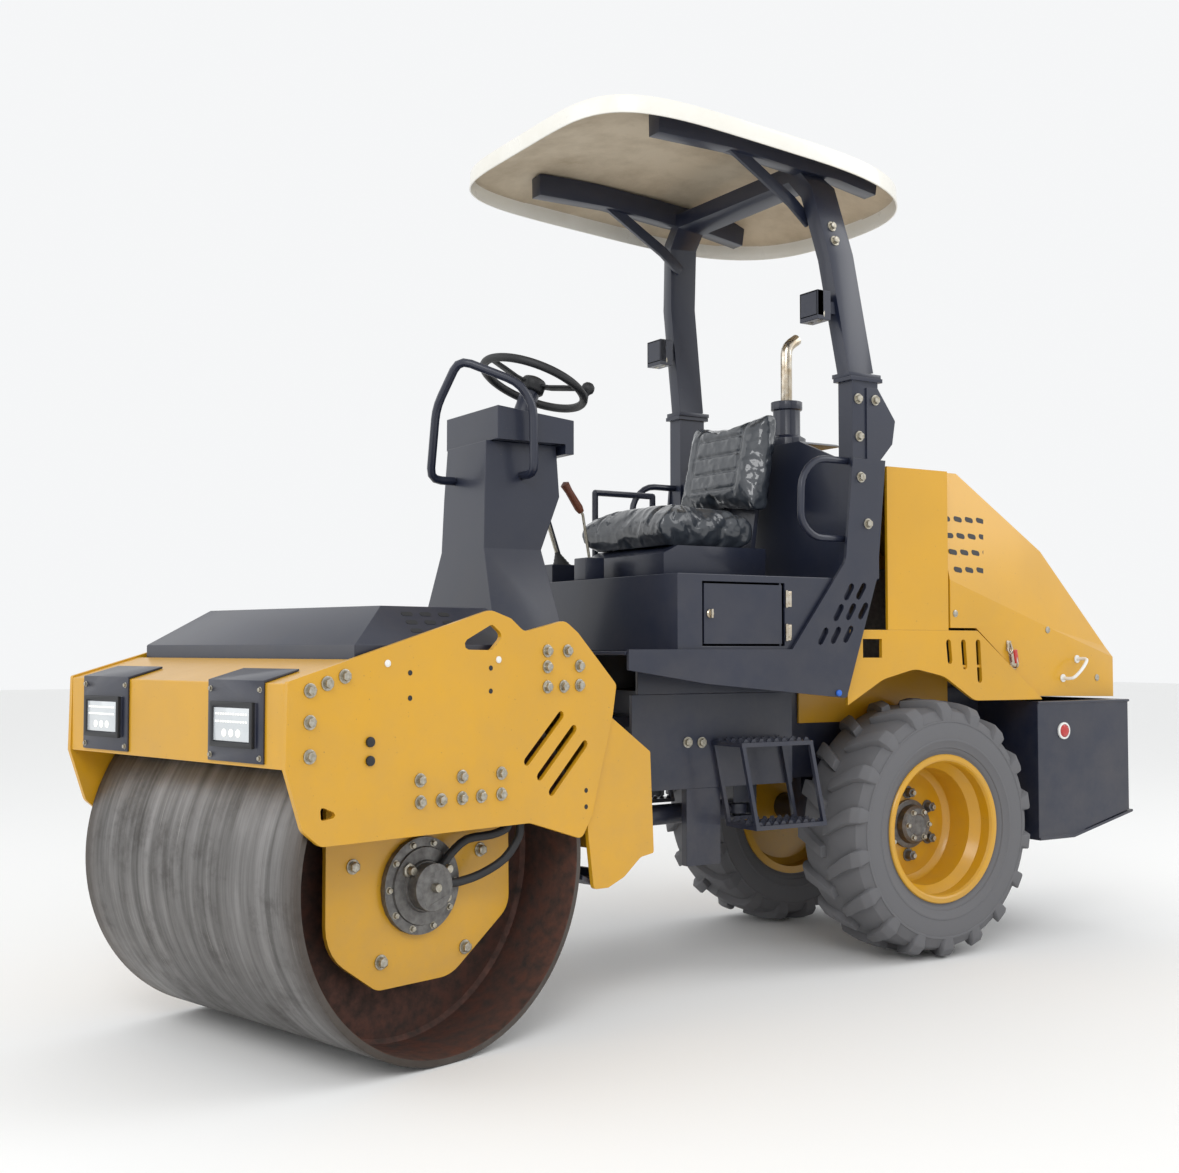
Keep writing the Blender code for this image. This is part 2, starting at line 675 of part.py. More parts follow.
def fender(side, name, rear):
    """The yellow panel over a tyre, with the shelf and the inner wall that bolt it to the chassis."""
    low, high = span(side, BODY_HALF - 0.012, BODY_HALF)
    top = SEAM_Z - HOOD_GAP
    outline = [
        (0.350, top, 0), (-0.184, top, 0.02), (-0.468, 0.7715, 0.01), (-0.474, 0.764, 0),
        (-0.170, 0.766, 0.06), (-0.040, 0.842, 0.12), (0.080, 0.866, 0.12), (0.210, 0.836, 0.12), (0.350, 0.762, 0),
    ]
    panel = keep(prism(rounded(outline, 0, 4), "Y", low, high), name, YELLOW, rear)
    for ahead, bottom in ((-0.058, 0.879), (-0.122, 0.862), (-0.186, 0.820)):
        slot = slanted((ahead, 0.955), (ahead - 0.008, bottom), 0.020)
        cut(panel, prism(slot, "Y", low - 0.01, high + 0.01))
    cut(panel, block((0.215, low - 0.01, 0.900), (0.290, high + 0.01, 0.955)))
    wall = CHASSIS_NECK + CLEAR
    inner, outer = span(side, wall, BODY_HALF - 0.006)
    weld(panel, block((-0.290, inner, 0.868), (0.340, outer, 0.876)))
    inner, outer = span(side, wall, wall + 0.008)
    return weld(panel, block((-0.290, inner, 0.700), (0.340, outer, 0.872)))


def housing(outline, low_x, high_x, wall, name, material, parent, open_front, open_rear):
    """An upside-down trough: an outline (y, z) along X with its inside cut out from below."""
    body = keep(prism(outline, "X", low_x, high_x), name, material, parent)
    half = max(y for y, z in outline)
    top = max(z for y, z in outline)
    floor = min(z for y, z in outline)
    first = low_x - 0.05 if open_rear else low_x + wall
    last = high_x + 0.05 if open_front else high_x - wall
    inner = [(-(half - wall), floor - 0.05), (half - wall, floor - 0.05), (half - wall, top - wall - 0.02),
             (half - wall - 0.02, top - wall), (-(half - wall - 0.02), top - wall), (-(half - wall), top - wall - 0.02)]
    return cut(body, prism(inner, "X", first, last))


def cowl(rear):
    """The fixed yellow panel between the side plates and the tilting hood, with the hood's hinge ears."""
    low = SEAM_Z - HOOD_GAP + CLEAR
    outline = [(-BODY_HALF, low), (BODY_HALF, low), (BODY_HALF, COWL_TOP), (-BODY_HALF, COWL_TOP)]
    shell = housing(outline, COWL_REAR, 0.190, 0.010, "engine_cowl", YELLOW, rear, True, True)
    x, z = HOOD_HINGE
    for side in (1, -1):
        low, high = span(side, 0.215, 0.230)
        weld(shell, block((x - 0.007, low, COWL_TOP - 0.004), (x + 0.024, high, z + 0.009)))
        weld(shell, rod((x, side * 0.190, z), (x, side * 0.220, z), HINGE_PIN, 12))
    return shell


def seat_bulkhead(rear):
    """The dark housing behind the seat, with a sloped shoulder on each side."""
    back, face = 0.1903, 0.345
    outline = [(-0.395, DECK_TOP + CLEAR), (0.395, DECK_TOP + CLEAR), (0.395, 1.485), (0.210, 1.560), (-0.210, 1.560), (-0.395, 1.485)]
    body = housing(outline, back, face, 0.010, "seat_bulkhead", BLACK, rear, False, True)
    top = 1.560
    guard = [
        (0.0, top - 0.005), (0.060, top - 0.005), (0.060, top + 0.030), (0.043, top + 0.040), (0.043, top + 0.120),
        (0.050, top + 0.122), (0.050, top + 0.148), (0.0, top + 0.148),
    ]
    return weld(body, turned(guard, 16, "Z", (*EXHAUST, 0)))


def hood_sections():
    """Half sections of the hood from its hinge line to its tail, each from the lower edge to the ridge."""
    front = COWL_REAR - HOOD_GAP
    tail = TAIL_X + 0.012
    ridge = COWL_TOP + 0.010
    return [
        [(front, BODY_HALF, SEAM_Z), (front, BODY_HALF, 1.137), (front, 0.345, ridge)],
        [(-0.186, BODY_HALF - 0.006, SEAM_Z), (-0.186, BODY_HALF - 0.006, 1.101), (-0.186, 0.345, ridge)],
        [(-0.478, BODY_HALF - 0.018, 0.774), (-0.545, BODY_HALF - 0.022, 0.991), (-0.565, 0.350, 1.246)],
        [(tail, BODY_HALF - 0.038, 0.766), (tail, BODY_HALF - 0.038, 0.898), (tail + 0.022, BODY_HALF - 0.052, 0.934)],
    ]


def hood_form(wall=0.0, beyond=0.0):
    """The hood's outer form, or with a wall the space in it, which runs on below it and in front."""
    sections = hood_sections()
    ahead = [beyond, 0.0, 0.0, wall]
    drops = (beyond, wall * 0.4, wall)
    mesh = bmesh.new()
    rings = []
    for shift, section in zip(ahead, sections):
        points = [(x + shift, y - wall, z - drop) for (x, y, z), drop in zip(section, drops)]
        left = [mesh.verts.new(point) for point in points]
        right = [mesh.verts.new((x, -y, z)) for x, y, z in reversed(points)]
        rings.append(left + right)
    for first, second in zip(rings, rings[1:]):
        for j in range(6):
            k = (j + 1) % 6
            mesh.faces.new([first[j], first[k], second[k], second[j]])
    mesh.faces.new(rings[0])
    mesh.faces.new(rings[-1])
    bmesh.ops.triangulate(mesh, faces=mesh.faces)
    return mesh


def hood(parent):
    """The tilting engine hood and the two knuckles along its front top edge."""
    body = keep(hood_form(), "engine_hood", YELLOW, parent)
    cut(body, hood_form(HOOD_WALL, 0.060))
    x, z = HOOD_HINGE
    for side in (1, -1):
        low, high = span(side, 0.194, 0.212)
        weld(body, block((-0.110, low, 1.466), (x + 0.010, high, z + 0.009)))
        weld(body, block((-0.110, low, 1.440), (-0.070, high, 1.470)))
        cut(body, rod((x, side * 0.180, z), (x, side * 0.214, z), HINGE_PIN + 0.0004, 12))
    cut(body, block((COWL_REAR - HOOD_GAP, -0.25, 1.440), (0.0, 0.25, COWL_TOP + HOOD_GAP)))
    return body


def platform(rear):
    """The operator's platform: the seat's deck between two boxes that are hollow behind their doors."""
    wide = 0.452
    wall = 0.008
    base = FLOOR_TOP + CLEAR
    deck = keep(block((0.360, -wide, base), (DECK_FRONT, wide, DECK_TOP)), "operator_platform", BLACK, rear)
    cut(deck, block((0.340, -0.235, base - 0.05), (DECK_FRONT - wall, 0.235, DECK_TOP - wall)))
    for side in (1, -1):
        low, high = span(side, 0.235 + wall, wide - wall)
        cut(deck, block((0.360 + wall, low, base + wall), (DECK_FRONT - wall, high, DECK_TOP - wall)))
        near, far = span(side, 0.400, 0.500)
        cut(deck, block((DOOR_HINGE_X - 0.010, near, DOOR_LOW - DOOR_GAP), (DOOR_FRONT + DOOR_GAP, far, DOOR_HIGH + DOOR_GAP)))
    return deck


def footplate(rear):
    """The floor: a tray across the machine with a nose under the console."""
    half = SKIRT_OUT - SKIRT - CLEAR
    outline = [
        (0.360, half), (0.360, -half), (FLOOR_FRONT, -half), (FLOOR_FRONT, -0.235), (1.405, -0.235),
        (1.405, 0.235), (FLOOR_FRONT, 0.235), (FLOOR_FRONT, half),
    ]
    floor = keep(prism(outline, "Z", FLOOR_TOP - 0.010, FLOOR_TOP), "footplate", BLACK, rear)
    for side in (1, -1):
        low, high = span(side, CHASSIS_HALF - 0.012, CHASSIS_HALF)
        weld(floor, block((0.470, low, CHASSIS_TOP + CLEAR), (1.000, high, FLOOR_TOP - 0.005)))
    return floor


def door(side, name, parent):
    """A side door, with the pin that it turns on running into the frame above and below."""
    low, high = span(side, 0.440, 0.4515)
    leaf = keep(block((DOOR_HINGE_X, low, DOOR_LOW), (DOOR_FRONT, high, DOOR_HIGH)), name, BLACK, parent)
    x, y = DOOR_HINGE_X + 0.004, side * 0.4475
    reach = DOOR_GAP - CLEAR
    return weld(leaf, rod((x, y, DOOR_LOW - reach), (x, y, DOOR_HIGH + reach), 0.0035, 12))


def rops_side_plate(side, name, rear):
    """The skirt under the doors and the slotted gusset that rises into the canopy's post."""
    low, high = span(side, SKIRT_OUT - SKIRT, SKIRT_OUT)
    outline = [
        (1.135, 0.925, 0), (0.585, 0.925, 0), (0.385, 1.180, 0.04), (0.355, 1.480, 0), (0.228, 1.480, 0),
        (0.262, 1.140, 0.05), (0.385, 0.785, 0.01), (0.880, 0.832, 0.02), (1.135, 0.871, 0),
    ]
    plate = keep(prism(rounded(outline, 0), "Y", low, high), name, BLACK, rear)
    rows = [
        [(0.372, 1.090), (0.325, 1.093)],
        [(0.412, 1.030), (0.365, 1.033), (0.318, 1.036)],
        [(0.470, 0.962), (0.423, 0.965), (0.376, 0.968)],
    ]
    for row in rows:
        for x, z in row:
            slot = slanted((x + 0.018, z - 0.024), (x - 0.014, z + 0.024), 0.019, 3)
            cut(plate, prism(slot, "Y", low - 0.01, high + 0.01))
    return post(side, plate)


def post(side, plate):
    """Welds the post to its gusset: the upright, its rear web and the flange under the hoop."""
    out = SKIRT_OUT - SKIRT / 2
    low, high = span(side, out - POST_WIDTH, out)
    weld(plate, block((0.252, low, 1.131), (0.352, high, POST_JOINT_Z)))
    near, far = span(side, SKIRT_OUT - SKIRT, SKIRT_OUT)
    weld(plate, prism([(0.300, 1.690), (0.256, 1.690), (0.188, 1.600), (0.200, 1.530), (0.256, 1.470), (0.300, 1.470)], "Y", near, far))
    low, high = span(side, out - POST_WIDTH - 0.008, out + 0.008)
    return weld(plate, block((0.240, low, POST_JOINT_Z - 0.012), (0.364, high, POST_JOINT_Z)))


def rops_hoop(rear):
    """The upper hoop: two legs that lean in and forwards, a crossbar and the arms under the roof."""
    y = SKIRT_OUT - SKIRT - POST_WIDTH / 2
    base = POST_JOINT_Z + CLEAR
    top = CANOPY_TOP
    path = [
        (0.304, y - 0.002, base + 0.010), (0.357, 0.398, top - 0.375), (0.384, 0.352, top - 0.173),
        (0.390, 0.290, top - 0.110),
    ]
    path += [(x, -y, z) for x, y, z in reversed(path)]
    hoop = keep(bar(path, (1, 0, 0.15), (POST_DEPTH, 0.050)), "rops_hoop", BLACK, rear)
    for side in (1, -1):
        low, high = span(side, y - 0.038, y + 0.036)
        weld(hoop, block((0.240, low, base), (0.364, high, base + 0.012)))
        line = [(x, ARM_Y * side, roof_height(x, ARM_Y) - CANOPY_THICK - ARM_HEIGHT / 2) for x in (0.150, 0.300, 0.450, 0.700, 0.960)]
        weld(hoop, bar(line, (0, 1, 0), (ARM_WIDTH, ARM_HEIGHT + 0.012)))
        weld(hoop, bar([(0.400, ARM_Y * side, top - 0.260), (0.470, ARM_Y * side, top - 0.205), (0.700, ARM_Y * side, top - 0.075)], (0, 1, 0), (0.012, 0.034)))
        low, high = span(side, 0.392, 0.420)
        weld(hoop, block((0.345, low, LAMP_Z - 0.018), (LAMP_BACK - CLEAR, high, LAMP_Z + 0.018)))
    return cut(hoop, roof_form(CANOPY_THICK + CLEAR, -0.10))


def lip_height(x):
    """The roof's lower edge, which drops from the front to the rear quarter."""
    share = min(max((x - 0.30) / 0.55, 0.0), 1.0)
    return LIP_REAR + (LIP_FRONT - LIP_REAR) * share * share * (3 - 2 * share)


def roof_height(x, y):
    """The roof's top over a point inside its outline: a low crown that falls to the shoulder."""
    middle = (CANOPY_FRONT + CANOPY_REAR) / 2
    u = (x - middle) / (CANOPY_FRONT - middle)
    v = y / CANOPY_HALF_Y
    reach = (abs(u) ** ROOF_POWER + abs(v) ** ROOF_POWER) ** (1 / ROOF_POWER)
    edge = middle + (x - middle) / max(reach, 0.01)
    return CANOPY_TOP - (CANOPY_TOP - lip_height(edge) - LIP) * reach ** 3


def roof_form(drop, rise):
    """The space between the roof's surface lowered by drop and the same surface lowered by rise."""
    middle = (CANOPY_FRONT + CANOPY_REAR) / 2
    mesh = bmesh.new()
    skins = []
    for below in (drop, rise):
        skin = [[mesh.verts.new((middle, 0, CANOPY_TOP - below))]]
        for share in (0.45, 0.75, 0.93, 0.98, 1.0):
            ring = []
            for i in range(ROOF_SIDES):
                turn = 2 * math.pi * i / ROOF_SIDES
                c, s = math.cos(turn), math.sin(turn)
                size = share - (max(below, 0.0) / CANOPY_HALF_Y if share == 1.0 else 0.0)
                x = middle + (CANOPY_FRONT - middle) * size * math.copysign(abs(c) ** (2 / ROOF_POWER), c)
                y = CANOPY_HALF_Y * size * math.copysign(abs(s) ** (2 / ROOF_POWER), s)
                z = lip_height(x) if share == 1.0 else roof_height(x, y) - below
                ring.append(mesh.verts.new((x, y, z)))
            skin.append(ring)
        skins.append(skin)
    for skin in skins:
        for i in range(ROOF_SIDES):
            mesh.faces.new([skin[0][0], skin[1][i], skin[1][(i + 1) % ROOF_SIDES]])
        for first, second in zip(skin[1:], skin[2:]):
            for i in range(ROOF_SIDES):
                j = (i + 1) % ROOF_SIDES
                mesh.faces.new([first[i], second[i], second[j]])
                mesh.faces.new([first[i], second[j], first[j]])
    lower, upper = skins[0][-1], skins[1][-1]
    for i in range(ROOF_SIDES):
        j = (i + 1) % ROOF_SIDES
        mesh.faces.new([lower[i], lower[j], upper[j], upper[i]])
    return mesh


def canopy(rear):
    """The moulded roof: a thin crowned shell whose edge turns down."""
    return smooth(keep(roof_form(CANOPY_THICK, 0.0), "canopy", CREAM, rear), 40)


def work_lamp(side, name, rear):
    """A small square lamp on the inside front of a hoop's leg."""
    y = 0.398 * side
    return keep(block((LAMP_BACK, y - 0.040, LAMP_Z - 0.043), (LAMP_BACK + 0.050, y + 0.040, LAMP_Z + 0.043)), name, BLACK, rear)


def console_column(rear):
    """The steering column's housing: a flared foot and an upright trunk that leans at the back."""
    base = FLOOR_TOP + CLEAR
    levels = [
        (base, 1.403, 1.190, 0.230), (0.960, 1.403, 1.190, 0.230), (1.200, 1.385, 1.205, 0.130),
        (1.352, 1.380, 1.143, 0.125), (1.497, 1.373, 1.150, 0.118),
    ]
    column = keep(lofted(levels), "console_column", BLACK, rear)
    return cut(column, block((1.215, -0.100, base - 0.05), (1.365, 0.100, 1.480)))


def dash(rear):
    """The box on top of the console."""
    outline = [(1.357, 1.497 + CLEAR), (1.357, 1.590), (1.114, 1.566), (1.114, 1.470), (1.142, 1.470), (1.142, 1.497 + CLEAR)]
    box = keep(prism(outline, "Y", -0.156, 0.156), "dash_box", BLACK, rear)
    foot, up = column_frame()
    return weld(box, rod(foot - up * 0.030, foot + up * (0.088 - CLEAR), 0.028, 16))


def handrail(rear):
    route = [
        (1.262, 0.1236, 1.405), (1.262, 0.190, 1.405), (1.268, 0.196, 1.590), (1.310, 0.190, 1.650),
        (1.452, 0.110, 1.712), (1.476, 0.020, 1.590), (1.455, -0.060, 1.400), (1.3790, -0.060, 1.400),
    ]
    return tube("console_handrail", route, 0.0125, BLACK, rear)


def column_frame():
    """The steering column's foot and direction."""
    foot = Vector((1.200, 0.0, 1.582))
    return foot, Vector((-math.sin(COLUMN_TILT), 0, math.cos(COLUMN_TILT)))


def steering_wheel(parent):
    """The rim, three spokes and hub, turned about the column's axis."""
    foot, up = column_frame()
    middle = foot + up * 0.118
    turn = Vector((0, 0, 1)).rotation_difference(up).to_matrix().to_4x4()
    mesh = bmesh.new()
    around, across = 24, 6
    rings = []
    for i in range(around):
        a = 2 * math.pi * i / around
        ring = []
        for j in range(across):
            b = 2 * math.pi * j / across
            r = WHEEL_RIM_RADIUS - 0.0125 + 0.0125 * math.cos(b)
            ring.append(mesh.verts.new((r * math.cos(a), r * math.sin(a), 0.0125 * math.sin(b))))
        rings.append(ring)
    for i in range(around):
        for j in range(across):
            here, there = rings[i], rings[(i + 1) % around]
            k = (j + 1) % across
            mesh.faces.new([here[j], here[k], there[k], there[j]])
    bmesh.ops.transform(mesh, matrix=Matrix.Translation(middle) @ turn, verts=mesh.verts)
    wheel = keep(mesh, "steering_wheel", RUBBER, parent)
    hub = turned([(0.0, -0.030), (0.036, -0.030), (0.036, 0.004), (0.028, 0.016), (0.0, 0.016)], 16, "Z")
    bmesh.ops.transform(hub, matrix=Matrix.Translation(middle) @ turn, verts=hub.verts)
    weld(wheel, hub)
    for angle in (0, 120, 240):
        reach = WHEEL_RIM_RADIUS - 0.013
        spoke = block((0.020, -0.014, -0.012), (reach, 0.014, -0.004))
        place = Matrix.Translation(middle) @ turn @ Matrix.Rotation(math.radians(angle), 4, "Z")
        bmesh.ops.transform(spoke, matrix=place, verts=spoke.verts)
        weld(wheel, spoke)
    knob = turned([(0.0, 0.006), (0.010, 0.006), (0.010, 0.022), (0.019, 0.030), (0.019, 0.046), (0.012, 0.056), (0.0, 0.056)], 12, "Z")
    place = Matrix.Translation(middle) @ turn @ Matrix.Rotation(math.radians(150), 4, "Z") @ Matrix.Translation((WHEEL_RIM_RADIUS - 0.0125, 0, 0))
    bmesh.ops.transform(knob, matrix=place, verts=knob.verts)
    return smooth(weld(wheel, knob))


def seat(rear):
    """The seat: a pedestal, a cushion, a back with its bracket, and a grab bar beside it."""
    base = DECK_TOP + CLEAR
    pedestal = keep(prism(rounded([(0.480, base), (0.850, base), (0.850, 1.200), (0.800, 1.2247), (0.480, 1.2247)], 0), "Y", -0.215, 0.215), "seat_base", BLACK, rear)
    weld(pedestal, prism([(0.400, 1.200), (0.490, 1.200), (0.490, 1.2247), (0.462, 1.2247), (0.4390, 1.3600), (0.4204, 1.4500), (0.4084, 1.4475), (0.4265, 1.3580), (0.445, 1.2247), (0.400, 1.2247)], "Y", -0.120, 0.120))
    outline = [(0.500, 1.225, 0.03), (0.880, 1.225, 0.045), (0.880, 1.330, 0.05), (0.780, 1.336, 0.05), (0.510, 1.316, 0.03)]
    cushion = keep(prism(rounded(outline, 0.03), "Y", -0.235, 0.235), "seat_cushion", VINYL, rear)
    back = [(0.446, 1.330, 0.03), (0.530, 1.330, 0.03), (0.497, 1.460, 0.05), (0.450, 1.655, 0.03), (0.388, 1.655, 0.03), (0.415, 1.480, 0.05)]
    rest = keep(prism(rounded(back, 0.03), "Y", -0.205, 0.205), "seat_back", VINYL, rear)
    route = [(0.560, -0.205, 1.190), (0.560, -0.265, 1.190), (0.560, -0.265, 1.420), (0.780, -0.265, 1.420), (0.780, -0.265, 1.190), (0.780, -0.205, 1.190)]
    for first, last in zip(route, route[1:]):
        weld(pedestal, rod(first, last, 0.010, 8))
        weld(pedestal, turned([(0.0, -0.0101), (0.0071, -0.0071), (0.0101, 0.0), (0.0071, 0.0071), (0.0, 0.0101)], 8, "Z", last))
    return pedestal, cushion, rest


def exhaust(rear):
    """The stainless tail pipe in its black collar on the dark housing."""
    top = 1.560 + CLEAR
    x, y = EXHAUST
    route = [(x, y, top + 0.1485), (x, y, 1.885), (x - 0.045, y, 1.915)]
    return tube("exhaust_pipe", route, 0.0185, CHROME, rear, 3)


def grab_handle(side, name, rear):
    out = SKIRT_OUT - 0.030
    route = mirrored([(0.3524, out, 1.474), (0.470, out, 1.474), (0.524, out, 1.420), (0.528, out, 1.290), (0.480, out, 1.246), (0.3524, out, 1.246)], side)
    return tube(name, route, 0.011, BLACK, rear)


def step(side, name, rear):
    """The open box step: two treads on four rails."""
    low, high = span(side, CHASSIS_HALF + CLEAR, 0.445)
    near = span(side, CHASSIS_HALF + CLEAR, CHASSIS_HALF + 0.012)
    far = span(side, 0.433, 0.445)
    frame = keep(block((0.495, low, 0.655), (0.750, high, 0.667)), name, BLACK, rear)
    weld(frame, block((0.445, low, 0.424), (0.700, high, 0.436)))
    for first, last in (((0.4955, 0.660), (0.4455, 0.430)), ((0.7375, 0.660), (0.6875, 0.430))):
        for inner, outer in (near, far):
            rail = [(first[0], first[1]), (first[0] + 0.012, first[1]), (last[0] + 0.012, last[1]), (last[0], last[1])]
            weld(frame, prism(rail, "Y", inner, outer))
    return frame


def levers(rear):
    """The small control box on the platform and the travel lever beside the seat."""
    base = DECK_TOP + CLEAR
    x, y = 0.860, -0.330
    box = keep(block((x - 0.060, y - 0.035, base), (x + 0.060, y + 0.035, base + 0.060)), "travel_lever", BLACK, rear)
    start = Vector((x, y, base + 0.050))
    lean = Vector((0.35, 0, 1)).normalized()
    weld(box, rod(start, start + lean * 0.200, 0.007, 10))
    return weld(box, rod(start + lean * 0.170, start + lean * 0.290, 0.017, 12))


def tyre(side, name, parent):
    """A hollow tyre, open between its beads."""
    middle = side * WHEEL_TRACK / 2
    outer = TYRE_DIAMETER / 2
    seat_radius = RIM_SEAT_DIAMETER / 2 + CLEAR
    half = TYRE_WIDTH / 2
    bead = RIM_WIDTH / 2 - RIM_WALL - CLEAR
    skin = [
        (seat_radius, bead), (0.228, bead), (0.255, half - 0.005), (0.300, half),
        (outer - 0.020, half - 0.010), (outer, half - 0.040),
    ]
    wall = TYRE_WALL
    inner = [(outer - wall * 1.7, half - wall - 0.006), (0.280, half - wall), (seat_radius, bead - wall * 1.3)]
    profile = skin + [(r, -a) for r, a in reversed(skin)] + [(r, -a) for r, a in reversed(inner)] + inner
    mesh = turned(profile, WHEEL_SEGMENTS, "Y", (0, middle, AXLE_Z))
    return smooth(keep(mesh, name, TYRE, parent), 40)


def rim(side, name, parent):
    """A deep-dish rim: flanges, bead seats, a well, the disc and the hub's face."""
    middle = WHEEL_TRACK / 2
    flange = RIM_FLANGE_DIAMETER / 2
    seat_radius = RIM_SEAT_DIAMETER / 2
    half = RIM_WIDTH / 2
    well = seat_radius - 0.022
    t = RIM_WALL
    disc = half - RIM_DISC_INSET
    outer = [
        (flange, half), (flange, half - t), (seat_radius, half - t), (seat_radius, half - 0.045), (well, half - 0.070),
        (well, 0.070 - half), (seat_radius, 0.045 - half), (seat_radius, t - half), (flange, t - half), (flange, -half),
    ]
    inner = [
        (seat_radius - t, -half), (seat_radius - t, 0.045 - half), (well - t, disc - 0.012),
        (0.0, disc - 0.012), (0.0, disc + 0.050), (HUB_RADIUS, disc + 0.050), (HUB_RADIUS, disc),
        (well - t, disc), (well - t, half - 0.072), (seat_radius - t, half - 0.045), (seat_radius - t, half),
    ]
    mesh = turned([(r, -middle - a) for r, a in outer + inner], WHEEL_SEGMENTS, "Y", (0, 0, AXLE_Z))
    if side > 0:
        bmesh.ops.rotate(mesh, cent=(0, 0, AXLE_Z), matrix=Matrix.Rotation(math.pi, 3, "Z"), verts=mesh.verts)
    return smooth(keep(mesh, name, YELLOW, parent))


def steering_cylinder(rear, eye):
    """The barrel on the frame's bracket and the rod that reaches the front frame's lug."""
    start = Vector((*BARREL_PIN, CYLINDER_Z))
    way = (eye - start).normalized()
    barrel_end = start + way * 0.400
    barrel = keep(rod(start + way * 0.048, barrel_end, 0.029, 16), "steering_cylinder", BLACK, rear)
    weld(barrel, rod(start + way * 0.020, start + way * 0.060, 0.012, 12))
    weld(barrel, rod(start - Vector((0, 0, 0.014)), start + Vector((0, 0, 0.014)), 0.032, 20))
    cut(barrel, rod(start - Vector((0, 0, 0.03)), start + Vector((0, 0, 0.03)), 0.0155, 20))
    cut(barrel, rod(start + way * 0.070, barrel_end + way * 0.01, 0.0152, 16))
    piston = keep(rod(start + way * 0.120, eye - way * 0.018, 0.0145, 16), "steering_rod", CHROME, rear)
    weld(piston, rod(eye - Vector((0, 0, 0.013)), eye + Vector((0, 0, 0.013)), 0.027, 20))
    cut(piston, rod(eye - Vector((0, 0, 0.03)), eye + Vector((0, 0, 0.03)), 0.016, 20))
    return barrel, piston


# ---------------------------------------------------------------- assembly

def parent_at(name, spot, turn, parent):
    """An empty for a moving body, on its joint's axis."""
    item = bpy.data.objects.new(name, None)
    bpy.context.scene.collection.objects.link(item)
    item.location = spot
    item.rotation_euler = (0, 0, turn)
    item.parent = parent
    return item


def recentre(root):
    """Moves the machine so that its origin is at the bottom centre of its box."""
    bpy.context.view_layer.update()
    graph = bpy.context.evaluated_depsgraph_get()
    low = Vector((1e9, 1e9, 1e9))
    high = -low
    for item in bpy.context.scene.objects:
        if item.type == "EMPTY" or item.hide_render:
            continue
        shape = item.evaluated_get(graph)
        mesh = shape.to_mesh()
        for vertex in mesh.vertices:
            spot = shape.matrix_world @ vertex.co
            low = Vector(map(min, low, spot))
            high = Vector(map(max, high, spot))
        shape.to_mesh_clear()
    root.location = (-(low.x + high.x) / 2, -(low.y + high.y) / 2, -low.z)


def front_pieces(front):
    side_plate(1, "side_plate_left", front)
    side_plate(-1, "side_plate_right", front)
    front_beam(front)
    deck_plate(front)
    drum_cover(front)
    headlamp(1, "headlamp_left", front)
    headlamp(-1, "headlamp_right", front)
    crossmember(front)
    tongue(front)
    scraper(front)
    for side, word in ((1, "left"), (-1, "right")):
        drum_support(side, f"drum_support_{word}", front)
    drum_motor(1, "travel_motor", front)
    drum_motor(-1, "vibration_motor", front)
    motor_hoses(front)


def rear_pieces(rear):
    chassis(rear)
    pivot_pin(rear)
    rear_axle(rear)
    engine(rear)
    counterweight(rear)
    cowl(rear)
    seat_bulkhead(rear)
    platform(rear)
    footplate(rear)
    rops_hoop(rear)
    canopy(rear)
    console_column(rear)
    dash(rear)
    handrail(rear)
    seat(rear)
    exhaust(rear)
    levers(rear)
    for side, word in ((1, "left"), (-1, "right")):
        fender(side, f"fender_{word}", rear)
        rops_side_plate(side, f"rops_side_plate_{word}", rear)
        work_lamp(side, f"work_lamp_{word}", rear)
        grab_handle(side, f"grab_handle_{word}", rear)
        step(side, f"step_{word}", rear)


def main():
    root = parent_at("machine", (0, 0, 0), 0, None)
    heading = Vector((math.cos(STEER_AT_REST), math.sin(STEER_AT_REST), 0))
    drum_spot = Vector((PIVOT_X, 0, 0)) + heading * DRUM_REACH
    front = parent_at("front_frame_place", drum_spot, STEER_AT_REST, root)
    rear_pieces(root)
    front_pieces(front)
    drum(front)
    hood(root)
    steering_wheel(root)
    left = Vector((-heading.y, heading.x, 0))
    eye = drum_spot + heading * ROD_EYE[0] + left * ROD_EYE[1] + Vector((0, 0, CYLINDER_Z))
    steering_cylinder(root, eye)
    for side, word in ((1, "left"), (-1, "right")):
        door(side, f"door_{word}", root)
        tyre(side, f"tyre_{word}", root)
        rim(side, f"rim_{word}", root)
    recentre(root)


clear_scene()
YELLOW = finish("yellow_enamel", "DFA318", 0.35)
BLACK = finish("blue_black_enamel", "2B2E38", 0.45)
STEEL = finish("bare_steel", "77787A", 0.45, 0.9)
CHROME = finish("stainless_steel", "C9C5BD", 0.25, 1.0)
RUBBER = finish("black_rubber", "1D1D1F", 0.6)
TYRE = finish("tyre_rubber", "222224", 0.85)
VINYL = finish("seat_vinyl", "2C3440", 0.5)
CREAM = finish("cream_moulding", "E4DFD2", 0.5)
main()
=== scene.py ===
"""A ride-on road roller with one smooth drum, two rubber tyres and a roofed seat, finished around its frame."""

import json
import math

import bpy
from mathutils import Matrix, Vector, noise
from mathutils.bvhtree import BVHTree

